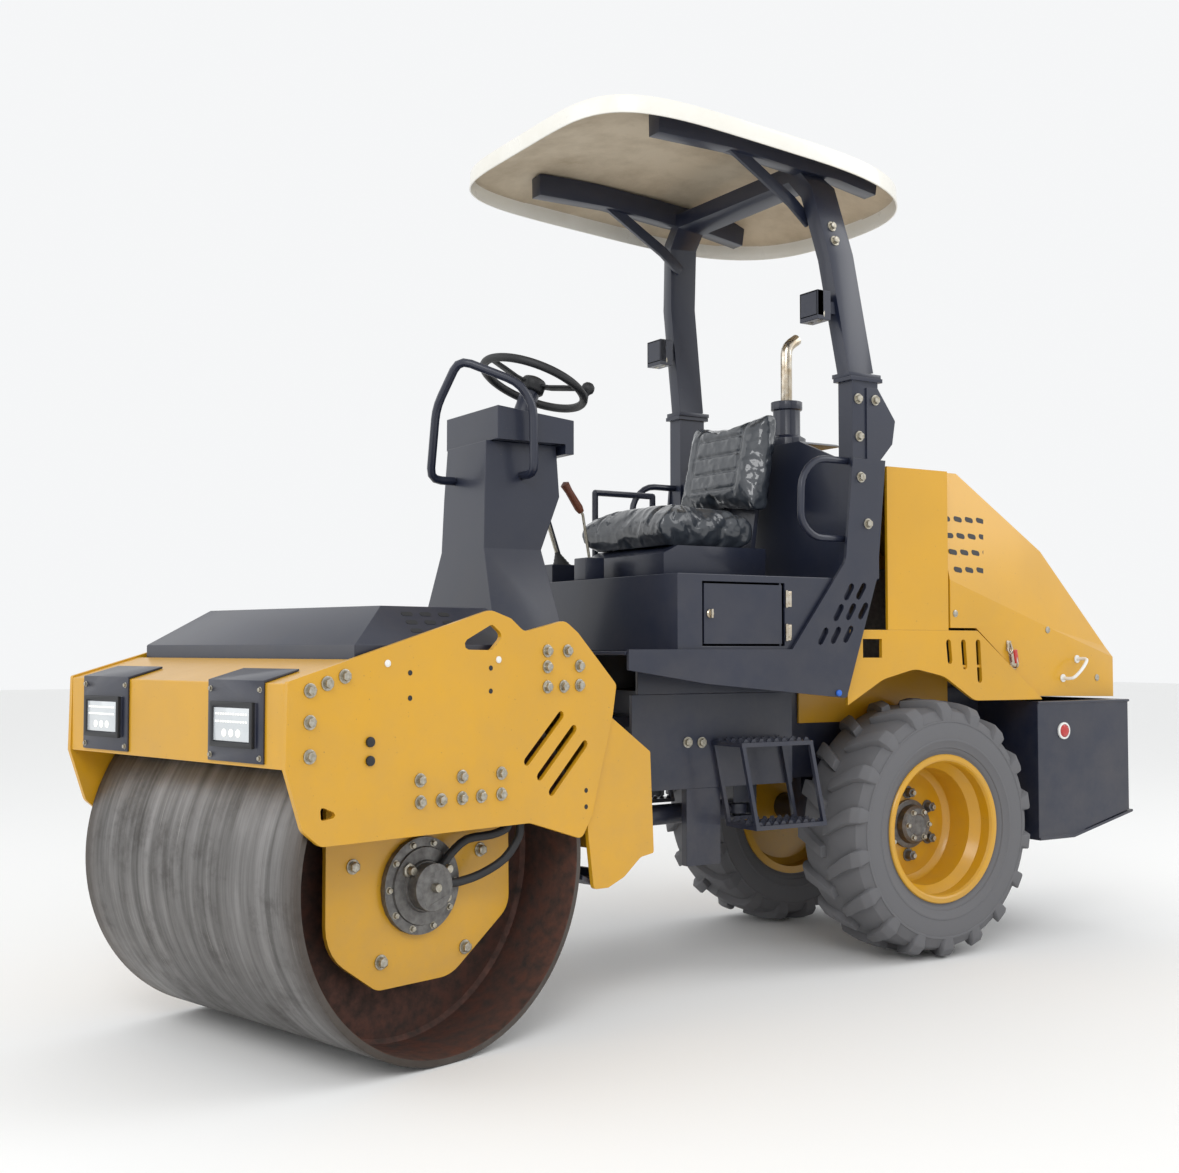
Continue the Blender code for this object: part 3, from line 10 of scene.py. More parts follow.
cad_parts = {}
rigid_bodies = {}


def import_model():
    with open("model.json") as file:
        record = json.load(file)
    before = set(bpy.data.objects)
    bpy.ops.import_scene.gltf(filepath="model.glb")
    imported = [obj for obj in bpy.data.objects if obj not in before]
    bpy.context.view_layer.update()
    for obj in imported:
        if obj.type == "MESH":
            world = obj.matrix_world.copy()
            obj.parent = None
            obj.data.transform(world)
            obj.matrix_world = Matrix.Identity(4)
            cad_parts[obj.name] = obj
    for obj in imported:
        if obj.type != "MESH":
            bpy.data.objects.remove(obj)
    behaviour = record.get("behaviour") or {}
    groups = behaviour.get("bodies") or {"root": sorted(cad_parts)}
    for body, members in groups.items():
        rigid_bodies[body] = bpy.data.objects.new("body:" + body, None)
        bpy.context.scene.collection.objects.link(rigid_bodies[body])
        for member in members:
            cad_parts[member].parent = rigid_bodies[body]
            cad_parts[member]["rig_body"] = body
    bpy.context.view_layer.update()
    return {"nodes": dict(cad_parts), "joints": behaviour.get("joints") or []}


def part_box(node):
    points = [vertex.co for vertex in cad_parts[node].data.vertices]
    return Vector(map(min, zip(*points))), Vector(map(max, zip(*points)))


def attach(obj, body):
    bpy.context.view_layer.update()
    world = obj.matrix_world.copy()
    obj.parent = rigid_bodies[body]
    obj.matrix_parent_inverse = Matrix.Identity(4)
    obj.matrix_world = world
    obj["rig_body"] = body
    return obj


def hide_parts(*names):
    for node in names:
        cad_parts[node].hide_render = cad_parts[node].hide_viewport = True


bl_info = {
    "name": "Road roller finish",
    "version": (1, 0, 0),
    "blender": (4, 5, 0),
    "location": "View3D > Sidebar > Roller",
    "description": "Models and paints the pieces of a small articulated road roller",
    "category": "Object",
}

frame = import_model()
JOINTS = {joint["name"]: joint for joint in frame["joints"]}
SLOT = {name: item.data.materials[0].name for name, item in frame["nodes"].items()}
BODY = {name: item["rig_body"] for name, item in frame["nodes"].items()}


def middle_of(node):
    low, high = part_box(node)
    return (low + high) / 2


def ground_frame(spot, heading=0.0):
    """The frame on the ground below a spot, turned to a heading."""
    return Matrix.Translation((spot.x, spot.y, 0)) @ Matrix.Rotation(heading, 4, "Z")


TYRES = {side: middle_of("tyre_" + side) for side in ("left", "right")}
REAR = ground_frame((TYRES["left"] + TYRES["right"]) / 2)
DRUM_CENTRE = middle_of("drum")
PIVOT = Vector(JOINTS["articulation_steer"]["pos_m"])
AHEAD = DRUM_CENTRE - PIVOT
FRONT = ground_frame(DRUM_CENTRE, math.atan2(AHEAD.y, AHEAD.x))
SIDES = {"left": 1, "right": -1}

# Distances from the middle of the front frame: the side plates' outer faces, the drum brackets' bolted
# faces and the motors' flanges.
PLATE_FACE = 0.4521
BRACKET_FACE = 0.3183
FLANGE_FACE = 0.330


def linear(colour):
    """The linear RGBA of an sRGB hex colour."""
    channels = [int(colour[i : i + 2], 16) / 255 for i in (0, 2, 4)]
    return (*[c / 12.92 if c <= 0.04045 else ((c + 0.055) / 1.055) ** 2.4 for c in channels], 1.0)


def tint(name, description, colour):
    return bpy.props.FloatVectorProperty(
        name=name, description=description, size=4, min=0, max=1, subtype="COLOR", default=linear(colour)
    )


def size(name, description, metres):
    return bpy.props.FloatProperty(
        name=name, description=description, default=metres, min=0.0, unit="LENGTH", subtype="DISTANCE"
    )


class RollerColours(bpy.types.PropertyGroup):
    """The paint and plastic colours."""

    panels: tint("Panels", "Yellow enamel of the frame, hood and rims", "D29C12")
    body: tint("Body", "Blue-black enamel of the platform and posts", "181F33")
    dust: tint("Dust", "Dry dust that settles low on the machine", "857B6E")
    roof: tint("Roof", "Gelcoat on the outside of the roof", "ECEAE2")
    lining: tint("Lining", "Bare laminate under the roof", "C9BBA4")
    seat: tint("Seat", "Vinyl of the cushion and back", "2A3038")
    tyre: tint("Tyre", "Rubber of the tyres", "232324")


class RollerSizes(bpy.types.PropertyGroup):
    """Sizes of the parts that a maker would buy in."""

    bolt: size("Bolt head", "Width of a side plate's bolt heads across corners", 0.021)
    washer: size("Washer", "Diameter of a side plate's washers", 0.031)
    lug: size("Lug depth", "Height of the tread bars over the casing", 0.021)
    lugs: bpy.props.IntProperty(
        name="Lugs", description="Tread bars on each half of a tyre", default=18, min=8, max=30
    )
    edge: size("Sheet edge", "Radius broken on the edges of folded sheet", 0.0018)
    film: size("Film wrinkle", "Depth of the wrinkles in the film on the seat", 0.0035)


# ---------------------------------------------------------------- modelling


def deselect():
    if bpy.context.mode != "OBJECT":
        bpy.ops.object.mode_set(mode="OBJECT")
    bpy.ops.object.select_all(action="DESELECT")


def only(*items):
    """Selects these objects and makes the first one active."""
    deselect()
    for item in items:
        item.select_set(True)
    bpy.context.view_layer.objects.active = items[0]
    return items[0]


def pick(item, test, kind="FACE"):
    """Opens edit mode with only the faces or edges selected that pass the test."""
    only(item)
    mesh = item.data
    for group in (mesh.vertices, mesh.edges, mesh.polygons):
        group.foreach_set("select", [False] * len(group))
    bpy.context.tool_settings.mesh_select_mode = (kind == "VERT", kind == "EDGE", kind == "FACE")
    for element in {"FACE": mesh.polygons, "EDGE": mesh.edges, "VERT": mesh.vertices}[kind]:
        element.select = bool(test(element))
    bpy.ops.object.mode_set(mode="EDIT")


def done():
    """Leaves edit mode and gives the object that was edited."""
    bpy.ops.object.mode_set(mode="OBJECT")
    return bpy.context.active_object


def modify(item, kind, **settings):
    """Adds a modifier and applies it."""
    only(item)
    modifier = item.modifiers.new(kind.title(), kind)
    for key, value in settings.items():
        setattr(modifier, key, value)
    bpy.ops.object.modifier_apply(modifier=modifier.name)
    return item


def soften(item, width, segments=2, angle=32.0):
    """Breaks the sharp edges and shades the rest smooth."""
    modify(item, "BEVEL", width=width, segments=segments, limit_method="ANGLE", angle_limit=math.radians(angle))
    return smooth(item, angle + 6)


def smooth(item, angle=35.0):
    only(item)
    bpy.ops.object.shade_smooth_by_angle(angle=math.radians(angle))
    return item


def settle(item, place=None):
    """Puts the object at a place and writes the place into its mesh."""
    only(item)
    if place is not None:
        item.matrix_world = place @ item.matrix_world
    bpy.context.view_layer.update()
    bpy.ops.object.transform_apply(location=True, rotation=True, scale=True)
    return item


def join(items):
    """One object from several, with their materials kept."""
    only(*items)
    if len(items) > 1:
        bpy.ops.object.join()
    return bpy.context.active_object


def copy_of(item, place=None):
    twin = item.copy()
    twin.data = item.data.copy()
    bpy.context.scene.collection.objects.link(twin)
    return settle(twin, place)


def repeated(item, places):
    """Copies of one object at these places, joined, and the first removed."""
    twins = [copy_of(item, place) for place in places]
    bpy.data.objects.remove(item)
    return join(twins)


def around(place, count, offset, shift=0.0):
    """Places spread evenly round the Z of one place, each moved out by an offset."""
    turns = [(i + shift) * 2 * math.pi / count for i in range(count)]
    return [place @ Matrix.Rotation(turn, 4, "Z") @ Matrix.Translation(offset) for turn in turns]


def aimed(spot, direction, turn=0.0):
    """A place whose Z runs along a direction."""
    aim = Vector((0, 0, 1)).rotation_difference(Vector(direction)).to_matrix().to_4x4()
    return Matrix.Translation(spot) @ aim @ Matrix.Rotation(turn, 4, "Z")


def box(low, high):
    low, high = Vector(low), Vector(high)
    deselect()
    bpy.ops.mesh.primitive_cube_add(size=1, location=(low + high) / 2)
    item = bpy.context.active_object
    item.scale = high - low
    return settle(item)


def disc(radius, low, high, sides=24):
    """A round blank along Z."""
    deselect()
    bpy.ops.mesh.primitive_cylinder_add(
        vertices=sides, radius=radius, depth=high - low, location=(0, 0, (low + high) / 2)
    )
    return settle(bpy.context.active_object)


def lathe(profile, steps=64, axle=False):
    """A (radius, along) profile drawn by extruding a point, then spun about Z; an axle's is laid along Y."""
    points = [Vector((radius, 0, along)) for radius, along in profile]
    points.append(points[0])
    deselect()
    bpy.ops.mesh.primitive_plane_add(size=0.01)
    bpy.context.tool_settings.mesh_select_mode = (True, False, False)
    bpy.ops.object.mode_set(mode="EDIT")
    bpy.ops.mesh.select_all(action="SELECT")
    bpy.ops.mesh.merge(type="CENTER")
    bpy.ops.transform.translate(value=points[0])
    for here, there in zip(points, points[1:]):
        bpy.ops.mesh.extrude_region_move(TRANSFORM_OT_translate={"value": there - here})
    bpy.ops.mesh.select_all(action="SELECT")
    bpy.ops.mesh.spin(steps=steps, angle=2 * math.pi, center=(0, 0, 0), axis=(0, 0, 1))
    bpy.ops.mesh.select_all(action="SELECT")
    bpy.ops.mesh.remove_doubles(threshold=0.00002)
    bpy.ops.mesh.normals_make_consistent(inside=False)
    item = done()
    return settle(item, Matrix.Rotation(-math.pi / 2, 4, "X")) if axle else item


def cut_out(outline, low, high):
    """A flat outline in X and Z pushed along Y from low to high."""
    deselect()
    bpy.ops.mesh.primitive_circle_add(vertices=len(outline), radius=1, fill_type="NGON")
    item = bpy.context.active_object
    for vertex, (x, z) in zip(item.data.vertices, outline):
        vertex.co = (x, low, z)
    pick(item, lambda face: True)
    bpy.ops.mesh.extrude_region_move(TRANSFORM_OT_translate={"value": (0, high - low, 0)})
    bpy.ops.mesh.select_all(action="SELECT")
    bpy.ops.mesh.normals_make_consistent(inside=False)
    return done()


def pipe(points, radius, sides=3, smooth_path=True):
    """A round tube along a path, as a mesh."""
    curve = bpy.data.curves.new("pipe", "CURVE")
    curve.dimensions = "3D"
    curve.bevel_depth = radius
    curve.bevel_resolution = sides
    curve.use_fill_caps = True
    if smooth_path:
        spline = curve.splines.new("BEZIER")
        spline.bezier_points.add(len(points) - 1)
        for knot, point in zip(spline.bezier_points, points):
            knot.co = point
            knot.handle_left_type = knot.handle_right_type = "AUTO"
    else:
        spline = curve.splines.new("POLY")
        spline.points.add(len(points) - 1)
        for knot, point in zip(spline.points, points):
            knot.co = (*point, 1)
    item = bpy.data.objects.new("pipe", curve)
    bpy.context.scene.collection.objects.link(item)
    only(item)
    bpy.ops.object.convert(target="MESH")
    item = bpy.context.active_object
    pick(item, lambda face: True)
    bpy.ops.mesh.remove_doubles(threshold=0.00002)
    bpy.ops.mesh.normals_make_consistent(inside=False)
    done()
    return smooth(item, 60)


def painted(item, *names):
    """Gives the object these finishes, in slot order."""
    item.data.materials.clear()
    for name in names:
        item.data.materials.append(bpy.data.materials[name])
    return item


def piece(item, name, body, replaces=()):
    """Names a finished piece, seats it at the origin and lets it move with its body."""
    settle(item)
    item.name = name
    item.data.name = name
    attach(item, body)
    if replaces:
        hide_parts(*replaces)
    deselect()
    return item


TREES = {}


def touch(node, spot, direction, place=REAR):
    """Where a line from a spot first meets a CAD piece, and which way its skin faces there."""
    if node not in TREES:
        mesh = frame["nodes"][node].data
        TREES[node] = BVHTree.FromPolygons([v.co for v in mesh.vertices], [f.vertices for f in mesh.polygons])
    way = place.to_3x3() @ Vector(direction)
    hit, normal, _, _ = TREES[node].ray_cast(place @ Vector(spot), way)
    if hit is None:
        raise RuntimeError(f"no part of {node} lies that way from {spot}")
    return hit, -normal if normal.dot(way) > 0 else normal


def beside(node, sign, x, z, place=REAR):
    """A place on the side of a CAD piece, with Z out of its skin and X ahead."""
    hit, normal = touch(node, (x, sign * 1.2, z), (0, -sign, 0), place)
    return aimed(hit, normal)


def node_copy(node):
    """A merged copy of a CAD node's mesh, ready to shape."""
    item = frame["nodes"][node].copy()
    item.data = item.data.copy()
    for key in list(item.keys()):
        del item[key]
    item.parent = None
    item.matrix_world = Matrix.Identity(4)
    bpy.context.scene.collection.objects.link(item)
    pick(item, lambda face: True)
    bpy.ops.mesh.customdata_custom_splitnormals_clear()
    bpy.ops.mesh.remove_doubles(threshold=0.00002)
    bpy.ops.mesh.dissolve_limited(angle_limit=math.radians(0.6))
    return done()


def hex_bolt(across, height, washer, thick, sides=16):
    """A hexagon head with a broken top edge on a round washer, standing on Z."""
    head = disc(across / 2, thick, thick + height, 6)
    pick(head, lambda face: face.normal.z > 0.9)
    bpy.ops.mesh.inset(thickness=across * 0.09, depth=across * 0.05)
    head = done()
    ring = disc(washer / 2, 0.0, thick, sides)
    pick(ring, lambda face: face.normal.z > 0.9)
    bpy.ops.mesh.inset(thickness=washer * 0.04, depth=0.0004)
    return join([head, done()])


# ---------------------------------------------------------------- finishes


def add(tree, kind, settings, *links):
    """Adds one node with its settings, and links (socket, source) pairs into it."""
    made = tree.nodes.new("ShaderNode" + kind)
    for key, value in settings.items():
        if isinstance(key, int) or key in made.inputs:
            made.inputs[key].default_value = value
        else:
            setattr(made, key, value)
    for socket, source in links:
        tree.links.new(source, made.inputs[socket])
    return made


def shader_of(name, **values):
    """A new Principled material, with its own values set on the shader's sockets."""
    material = bpy.data.materials.new(name)
    material.use_nodes = True
    shader = material.node_tree.nodes["Principled BSDF"]
    for key, value in values.items():
        shader.inputs[key.replace("_", " ")].default_value = value
    return material.node_tree, shader


def blend_of(tree, first, second, factor):
    """Mixes two colours or outputs by a factor."""
    made = add(tree, "Mix", {"data_type": "RGBA"}, (0, factor))
    for index, value in ((6, first), (7, second)):
        if isinstance(value, (tuple, list)) or not hasattr(value, "is_output"):
            made.inputs[index].default_value = tuple(value)
        else:
            tree.links.new(value, made.inputs[index])
    return made.outputs[2]


def limits(tree, source, low, high, out_low=0.0, out_high=1.0):
    """Maps an output from one range onto another, held at its ends."""
    return add(
        tree, "MapRange", {"From Min": low, "From Max": high, "To Min": out_low, "To Max": out_high}, (0, source)
    ).outputs[0]


def product(tree, first, second):
    return add(tree, "Math", {"operation": "MULTIPLY"}, (0, first), (1, second)).outputs[0]


def enamel(name, colour, dust, roughness, low_dust, dark):
    """Sprayed two-pack enamel on sheet steel: an even colour with a fine orange peel and a clear gloss over it.
    Dust lies on its low parts, and tiny chips show the primer."""
    tree, shader = shader_of(name, Coat_Weight=0.35, Coat_Roughness=0.18, IOR=1.5)
    place = add(tree, "TexCoord", {}).outputs["Object"]
    # Broad shifts of tone, half a metre across, as in sprayed panels.
    tone = add(tree, "TexNoise", {"Scale": 2.2, "Detail": 3.0}, ("Vector", place)).outputs["Fac"]
    base = blend_of(tree, colour, [c * dark for c in colour[:3]] + [1], limits(tree, tone, 0.35, 0.75, 0.0, 0.8))
    height = add(tree, "SeparateXYZ", {}, (0, place)).outputs["Z"]
    near_floor = limits(tree, height, 0.15, 1.35, low_dust, low_dust * 0.12)
    # Dust in patches 60 to 150 mm across.
    cloud = add(tree, "TexNoise", {"Scale": 9.0, "Detail": 8.0, "Roughness": 0.68}, ("Vector", place)).outputs["Fac"]
    film = product(tree, near_floor, limits(tree, cloud, 0.35, 0.75))
    base = blend_of(tree, base, dust, film)
    # Chips 1 to 3 mm across, only where the noise peaks.
    specks = add(tree, "TexNoise", {"Scale": 170.0, "Detail": 2.0}, ("Vector", place)).outputs["Fac"]
    base = blend_of(tree, base, linear("4A4540"), limits(tree, specks, 0.735, 0.76, 0.0, 0.55))
    tree.links.new(base, shader.inputs["Base Color"])
    tree.links.new(limits(tree, film, 0.0, 0.7, roughness, 0.85), shader.inputs["Roughness"])
    # Orange peel with a 4 mm wave, drawn coarser than the real 1.5 mm so that it shows.
    peel = add(tree, "TexNoise", {"Scale": 250.0, "Detail": 2.0}, ("Vector", place)).outputs["Fac"]
    bump = add(tree, "Bump", {"Strength": 0.06, "Distance": 0.001}, ("Height", peel))
    tree.links.new(bump.outputs[0], shader.inputs["Normal"])


def rolled_steel(name, turn, centre):
    """Plate steel rolled into a drum and worn on stone: dull grey, streaked round the drum, stained at its rims."""
    tree, shader = shader_of(name, Metallic=0.75, Specular_IOR_Level=0.5)
    place = add(tree, "TexCoord", {}).outputs["Object"]
    # X, Y and Z now lie along the drum's own axes, from its centre.
    local = add(
        tree, "Mapping", {"vector_type": "TEXTURE", "Location": centre, "Rotation": (0, 0, turn)}, ("Vector", place)
    ).outputs[0]
    # Wear bands run round the drum: fine across its width, long along its path.
    round_way = add(tree, "Mapping", {"Scale": (1.2, 26.0, 1.2)}, ("Vector", local)).outputs[0]
    bands = add(tree, "TexNoise", {"Scale": 1.0, "Detail": 7.0, "Roughness": 0.62}, ("Vector", round_way))
    fine_way = add(tree, "Mapping", {"Scale": (5.0, 240.0, 5.0)}, ("Vector", local)).outputs[0]
    scratches = add(tree, "TexNoise", {"Scale": 1.0, "Detail": 3.0}, ("Vector", fine_way)).outputs["Fac"]
    blots = add(tree, "TexNoise", {"Scale": 7.0, "Detail": 9.0, "Roughness": 0.7}, ("Vector", local)).outputs["Fac"]
    base = blend_of(tree, linear("504E4C"), linear("8C8A89"), limits(tree, bands.outputs["Fac"], 0.33, 0.68))
    base = blend_of(tree, base, linear("3F3A37"), limits(tree, blots, 0.52, 0.78, 0.0, 0.75))
    across = add(tree, "SeparateXYZ", {}, (0, local)).outputs["Y"]
    edge = add(tree, "Math", {"operation": "ABSOLUTE"}, (0, across)).outputs[0]
    base = blend_of(tree, base, linear("4D443D"), limits(tree, edge, 0.36, 0.43, 0.0, 0.65))
    base = blend_of(tree, base, linear("C8C5C0"), limits(tree, scratches, 0.66, 0.78, 0.0, 0.5))
    tree.links.new(base, shader.inputs["Base Color"])
    tree.links.new(limits(tree, blots, 0.35, 0.7, 0.38, 0.66), shader.inputs["Roughness"])
    relief = add(tree, "Math", {"operation": "ADD"}, (0, scratches), (1, blots)).outputs[0]
    bump = add(tree, "Bump", {"Strength": 0.25, "Distance": 0.0012}, ("Height", relief))
    tree.links.new(bump.outputs[0], shader.inputs["Normal"])


def metal(name, bright, dull, roughness, grain, coarse=0.3, metallic=1.0):
    """Bare or plated metal: two tones in a mottle of the given grain in metres, with a matching change of gloss."""
    tree, shader = shader_of(name, Metallic=metallic)
    place = add(tree, "TexCoord", {}).outputs["Object"]
    mottle = add(tree, "TexNoise", {"Scale": 1 / grain, "Detail": 5.0, "Roughness": 0.6}, ("Vector", place))
    factor = limits(tree, mottle.outputs["Fac"], 0.35, 0.7)
    tree.links.new(blend_of(tree, linear(bright), linear(dull), factor), shader.inputs["Base Color"])
    tree.links.new(limits(tree, factor, 0, 1, roughness, roughness + coarse), shader.inputs["Roughness"])
    bump = add(tree, "Bump", {"Strength": 0.12, "Distance": 0.0006}, ("Height", mottle.outputs["Fac"]))
    tree.links.new(bump.outputs[0], shader.inputs["Normal"])


def moulded(name, colour, worn, roughness, grain, depth, dusty=0.0, **values):
    """A moulded rubber, plastic or laminate: a fine grain pressed in by its mould, and a paler bloom in patches."""
    tree, shader = shader_of(name, **values)
    place = add(tree, "TexCoord", {}).outputs["Object"]
    bloom = add(tree, "TexNoise", {"Scale": 6.0, "Detail": 8.0, "Roughness": 0.65}, ("Vector", place)).outputs["Fac"]
    factor = limits(tree, bloom, 0.4, 0.75, 0.0, 0.35 + dusty)
    tree.links.new(blend_of(tree, colour, worn, factor), shader.inputs["Base Color"])
    tree.links.new(limits(tree, bloom, 0.3, 0.7, roughness, min(roughness + 0.12, 1)), shader.inputs["Roughness"])
    skin = add(tree, "TexNoise", {"Scale": 1 / grain, "Detail": 3.0}, ("Vector", place)).outputs["Fac"]
    bump = add(tree, "Bump", {"Strength": 0.3, "Distance": depth}, ("Height", skin))
    tree.links.new(bump.outputs[0], shader.inputs["Normal"])


def filmed_vinyl(name, colour):
    """Embossed seat vinyl under the loose clear polythene that it is delivered in: dark leather grain, and over it
    a hard gloss broken by wrinkles, their crests lit by a painted highlight in pale grey."""
    tree, shader = shader_of(name, Coat_Weight=1.0, Coat_Roughness=0.06, Coat_IOR=1.5, IOR=1.5, Roughness=0.42)
    place = add(tree, "TexCoord", {}).outputs["Object"]
    # Folds 25 to 60 mm apart, bent by a slower noise.
    bend = add(tree, "TexNoise", {"Scale": 9.0, "Detail": 2.0}, ("Vector", place)).outputs["Color"]
    bent = blend_of(tree, place, bend, add(tree, "Value", {}).outputs[0])
    tree.nodes["Value"].outputs[0].default_value = 0.16
    ridged = {"noise_type": "RIDGED_MULTIFRACTAL", "Scale": 13.0, "Detail": 4.0}
    folds = add(tree, "TexNoise", ridged, ("Vector", bent))
    crest = folds.outputs["Fac"]
    # Leather grain with 3 mm cells.
    grain = add(tree, "TexVoronoi", {"Scale": 330.0}, ("Vector", place)).outputs["Distance"]
    # Painted highlight: the crests of the folds are painted pale grey into the base colour, standing in for the gloss
    # catching light.
    crest_painted_highlight = limits(tree, crest, 0.62, 0.98, 0.0, 0.55)
    tree.links.new(blend_of(tree, colour, linear("B9C0C6"), crest_painted_highlight), shader.inputs["Base Color"])
    low = add(tree, "Bump", {"Strength": 0.2, "Distance": 0.0008}, ("Height", grain))
    high = add(tree, "Bump", {"Strength": 0.75, "Distance": 0.006}, ("Height", crest))
    tree.links.new(low.outputs[0], shader.inputs["Normal"])
    tree.links.new(high.outputs[0], shader.inputs["Coat Normal"])


class ROLLER_OT_finishes(bpy.types.Operator):
    """Makes every finish and gives the CAD pieces theirs"""

    bl_idname = "roller.finishes"
    bl_label = "Finishes"

    def execute(self, context):
        c = context.scene.roller_colours
        panels, body, dust = tuple(c.panels), tuple(c.body), tuple(c.dust)
        enamel("yellow_enamel", panels, dust, 0.34, 0.22, 0.86)
        enamel("blue_black_enamel", body, dust, 0.42, 0.18, 0.75)
        rolled_steel("worn_rolled_steel", math.atan2(AHEAD.y, AHEAD.x), DRUM_CENTRE)
        metal("zinc_plated_steel", "BDB9AE", "989180", 0.3, 0.008)
        metal("sanded_stainless_steel", "D6CFC2", "A8977D", 0.16, 0.03, 0.22)
        metal("cast_steel", "7C7B79", "676564", 0.46, 0.016, 0.18, 0.8)
        metal("red_oxide_primer", "5A3A30", "38302C", 0.6, 0.03, 0.3, 0.3)
        moulded("tyre_rubber", tuple(c.tyre), linear("4A4642"), 0.72, 0.004, 0.0012, 0.35, IOR=1.52)
        moulded("moulded_rubber", linear("1C1D20"), linear("3A3A3C"), 0.5, 0.003, 0.0006, IOR=1.52)
        gloss = {"Coat_Weight": 0.5, "Coat_Roughness": 0.1}
        moulded("gelcoat_white", tuple(c.roof), linear("D5CFBF"), 0.24, 0.02, 0.0006, **gloss)
        moulded("glass_fibre_laminate", tuple(c.lining), linear("8F7D63"), 0.62, 0.008, 0.0015, 0.25)
        moulded("black_polypropylene", linear("17181B"), linear("34363A"), 0.42, 0.002, 0.0004)
        moulded("brown_polypropylene", linear("6B3A26"), linear("8A5236"), 0.4, 0.002, 0.0004)
        moulded("red_acrylic", linear("B3201C"), linear("D8443C"), 0.15, 0.01, 0.0002, Coat_Weight=0.6)
        moulded("white_nylon", linear("E8E8E4"), linear("C9C9C4"), 0.4, 0.004, 0.0002)
        moulded("blue_polythene", linear("1F5FC4"), linear("3F7BDC"), 0.4, 0.004, 0.0002)
        gloss = {"Coat_Weight": 1.0, "Coat_Roughness": 0.03}
        moulded("clear_polycarbonate", linear("C6CBCE"), linear("EDEFF0"), 0.08, 0.012, 0.0012, **gloss)
        glow = {"Emission_Color": linear("FFFDF2"), "Emission_Strength": 0.25}
        moulded("led_chip", linear("F4F3EC"), linear("FFFFFF"), 0.25, 0.004, 0.0002, **glow)
        filmed_vinyl("vinyl_under_polythene", tuple(c.seat))
        finish_of = {
            "yellow_paint": "yellow_enamel",
            "dark_paint": "blue_black_enamel",
            "bare_steel": "cast_steel",
            "bright_steel": "sanded_stainless_steel",
            "black_rubber": "moulded_rubber",
            "tyre_rubber": "tyre_rubber",
            "seat_vinyl": "vinyl_under_polythene",
            "cream_moulding": "gelcoat_white",
        }
        for name, item in frame["nodes"].items():
            painted(item, finish_of[SLOT[name]])
        return {"FINISHED"}


class ROLLER_OT_sheet_metal(bpy.types.Operator):
    """Breaks the sheared edges of the plates, boxes and castings"""

    bl_idname = "roller.sheet_metal"
    bl_label = "Sheet metal edges"

    def execute(self, context):
        edge = context.scene.roller_sizes.edge
        turned = ("handrail", "handle", "seat_base", "axle", "tongue", "steering_", "exhaust", "hoop", "hose", "pin")
        others = ("rim_", "headlamp_", "tyre_", "drum", "canopy", "seat_c", "seat_back", "steering_wheel")
        kept = ("drum_cover", "drum_deck", "drum_scraper", "drum_support")
        for node in sorted(frame["nodes"]):
            if node.startswith(others) and not node.startswith(kept):
                continue
            item = node_copy(node)
            round_work = any(word in node for word in turned)
            soften(item, edge if node != "counterweight" else edge * 2, 2, 34 if round_work else 12)
            painted(item, frame["nodes"][node].data.materials[0].name)
            piece(item, node + "_sheet", BODY[node], [node])
        return {"FINISHED"}


class ROLLER_OT_drum(bpy.types.Operator):
    """The smooth drum: a rolled shell with broken rims, its end discs, weld beads and hub"""

    bl_idname = "roller.drum"
    bl_label = "Drum"

    def execute(self, context):
        low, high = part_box("drum")
        radius = (high.z - low.z) / 2
        half, bore, face = 0.432, radius - 0.018, 0.243
        outer = [
            (radius - 0.003, -half), (radius, 0.003 - half), (radius, half - 0.003), (radius - 0.003, half),
            (bore + 0.002, half), (bore, half - 0.003), (bore, face + 0.010), (bore - 0.010, face),
            (0.095, face), (0.085, face + 0.010), (0.085, 0.278), (0.0, 0.278), (0.0, -0.278), (0.085, -0.278),
            (0.085, -face - 0.010), (0.095, -face), (bore - 0.010, -face), (bore, -face - 0.010),
            (bore, 0.003 - half), (bore + 0.002, -half),
        ]
        shell = lathe(outer, 128, True)
        painted(shell, "worn_rolled_steel", "red_oxide_primer")
        for face_of in shell.data.polygons:
            spot = Vector((face_of.center.x, 0, face_of.center.z)).length
            face_of.material_index = 0 if spot > bore + 0.004 else 1
        smooth(shell, 40)
        settle(shell, FRONT @ Matrix.Translation((0, 0, DRUM_CENTRE.z)))
        piece(shell, "drum_shell", "drum", ["drum"])
        return {"FINISHED"}


def tread_bar(outer, half, depth, flank):
    """One bar of the tread, from the middle of the tyre over its shoulder; flank is 1 or -1."""
    # Each station: distance from the middle, sweep round the tyre, top and foot radius, half width.
    stations = [
        (0.004, 0.150, outer - 0.001, outer - depth - 0.010, 0.017),
        (0.040, 0.100, outer, outer - depth - 0.010, 0.018),
        (0.080, 0.040, outer - 0.002, outer - depth - 0.012, 0.020),
        (half - 0.020, 0.006, outer - 0.008, outer - depth - 0.016, 0.023),
        (half - 0.002, 0.000, outer - 0.030, outer - depth - 0.040, 0.024),
        (half - 0.001, 0.000, outer - 0.068, outer - depth - 0.066, 0.018),
    ]
    deselect()
    bpy.ops.mesh.primitive_cube_add(size=1, location=(0, 0.5, 0))
    item = settle(bpy.context.active_object)
    for step in range(1, len(stations) - 1):
        pick(item, lambda face, step=step: face.center.y > step - 0.01 and face.normal.y > 0.9)
        bpy.ops.mesh.extrude_region_move(TRANSFORM_OT_translate={"value": (0, 1, 0)})
        done()
    for vertex in item.data.vertices:
        across, sweep, top, foot, wide = stations[round(vertex.co.y)]
        if vertex.co.z < 0:
            across -= 0.016 if top < outer - 0.02 else 0.0
        radius = top if vertex.co.z > 0 else foot
        turn = sweep + (1 if vertex.co.x > 0 else -1) * wide * (1.0 if vertex.co.z > 0 else 1.25) / outer
        vertex.co = (radius * math.sin(turn), flank * across, radius * math.cos(turn))
    pick(item, lambda face: True)
    bpy.ops.mesh.normals_make_consistent(inside=False)
    done()
    return soften(item, 0.0035, 2, 25)


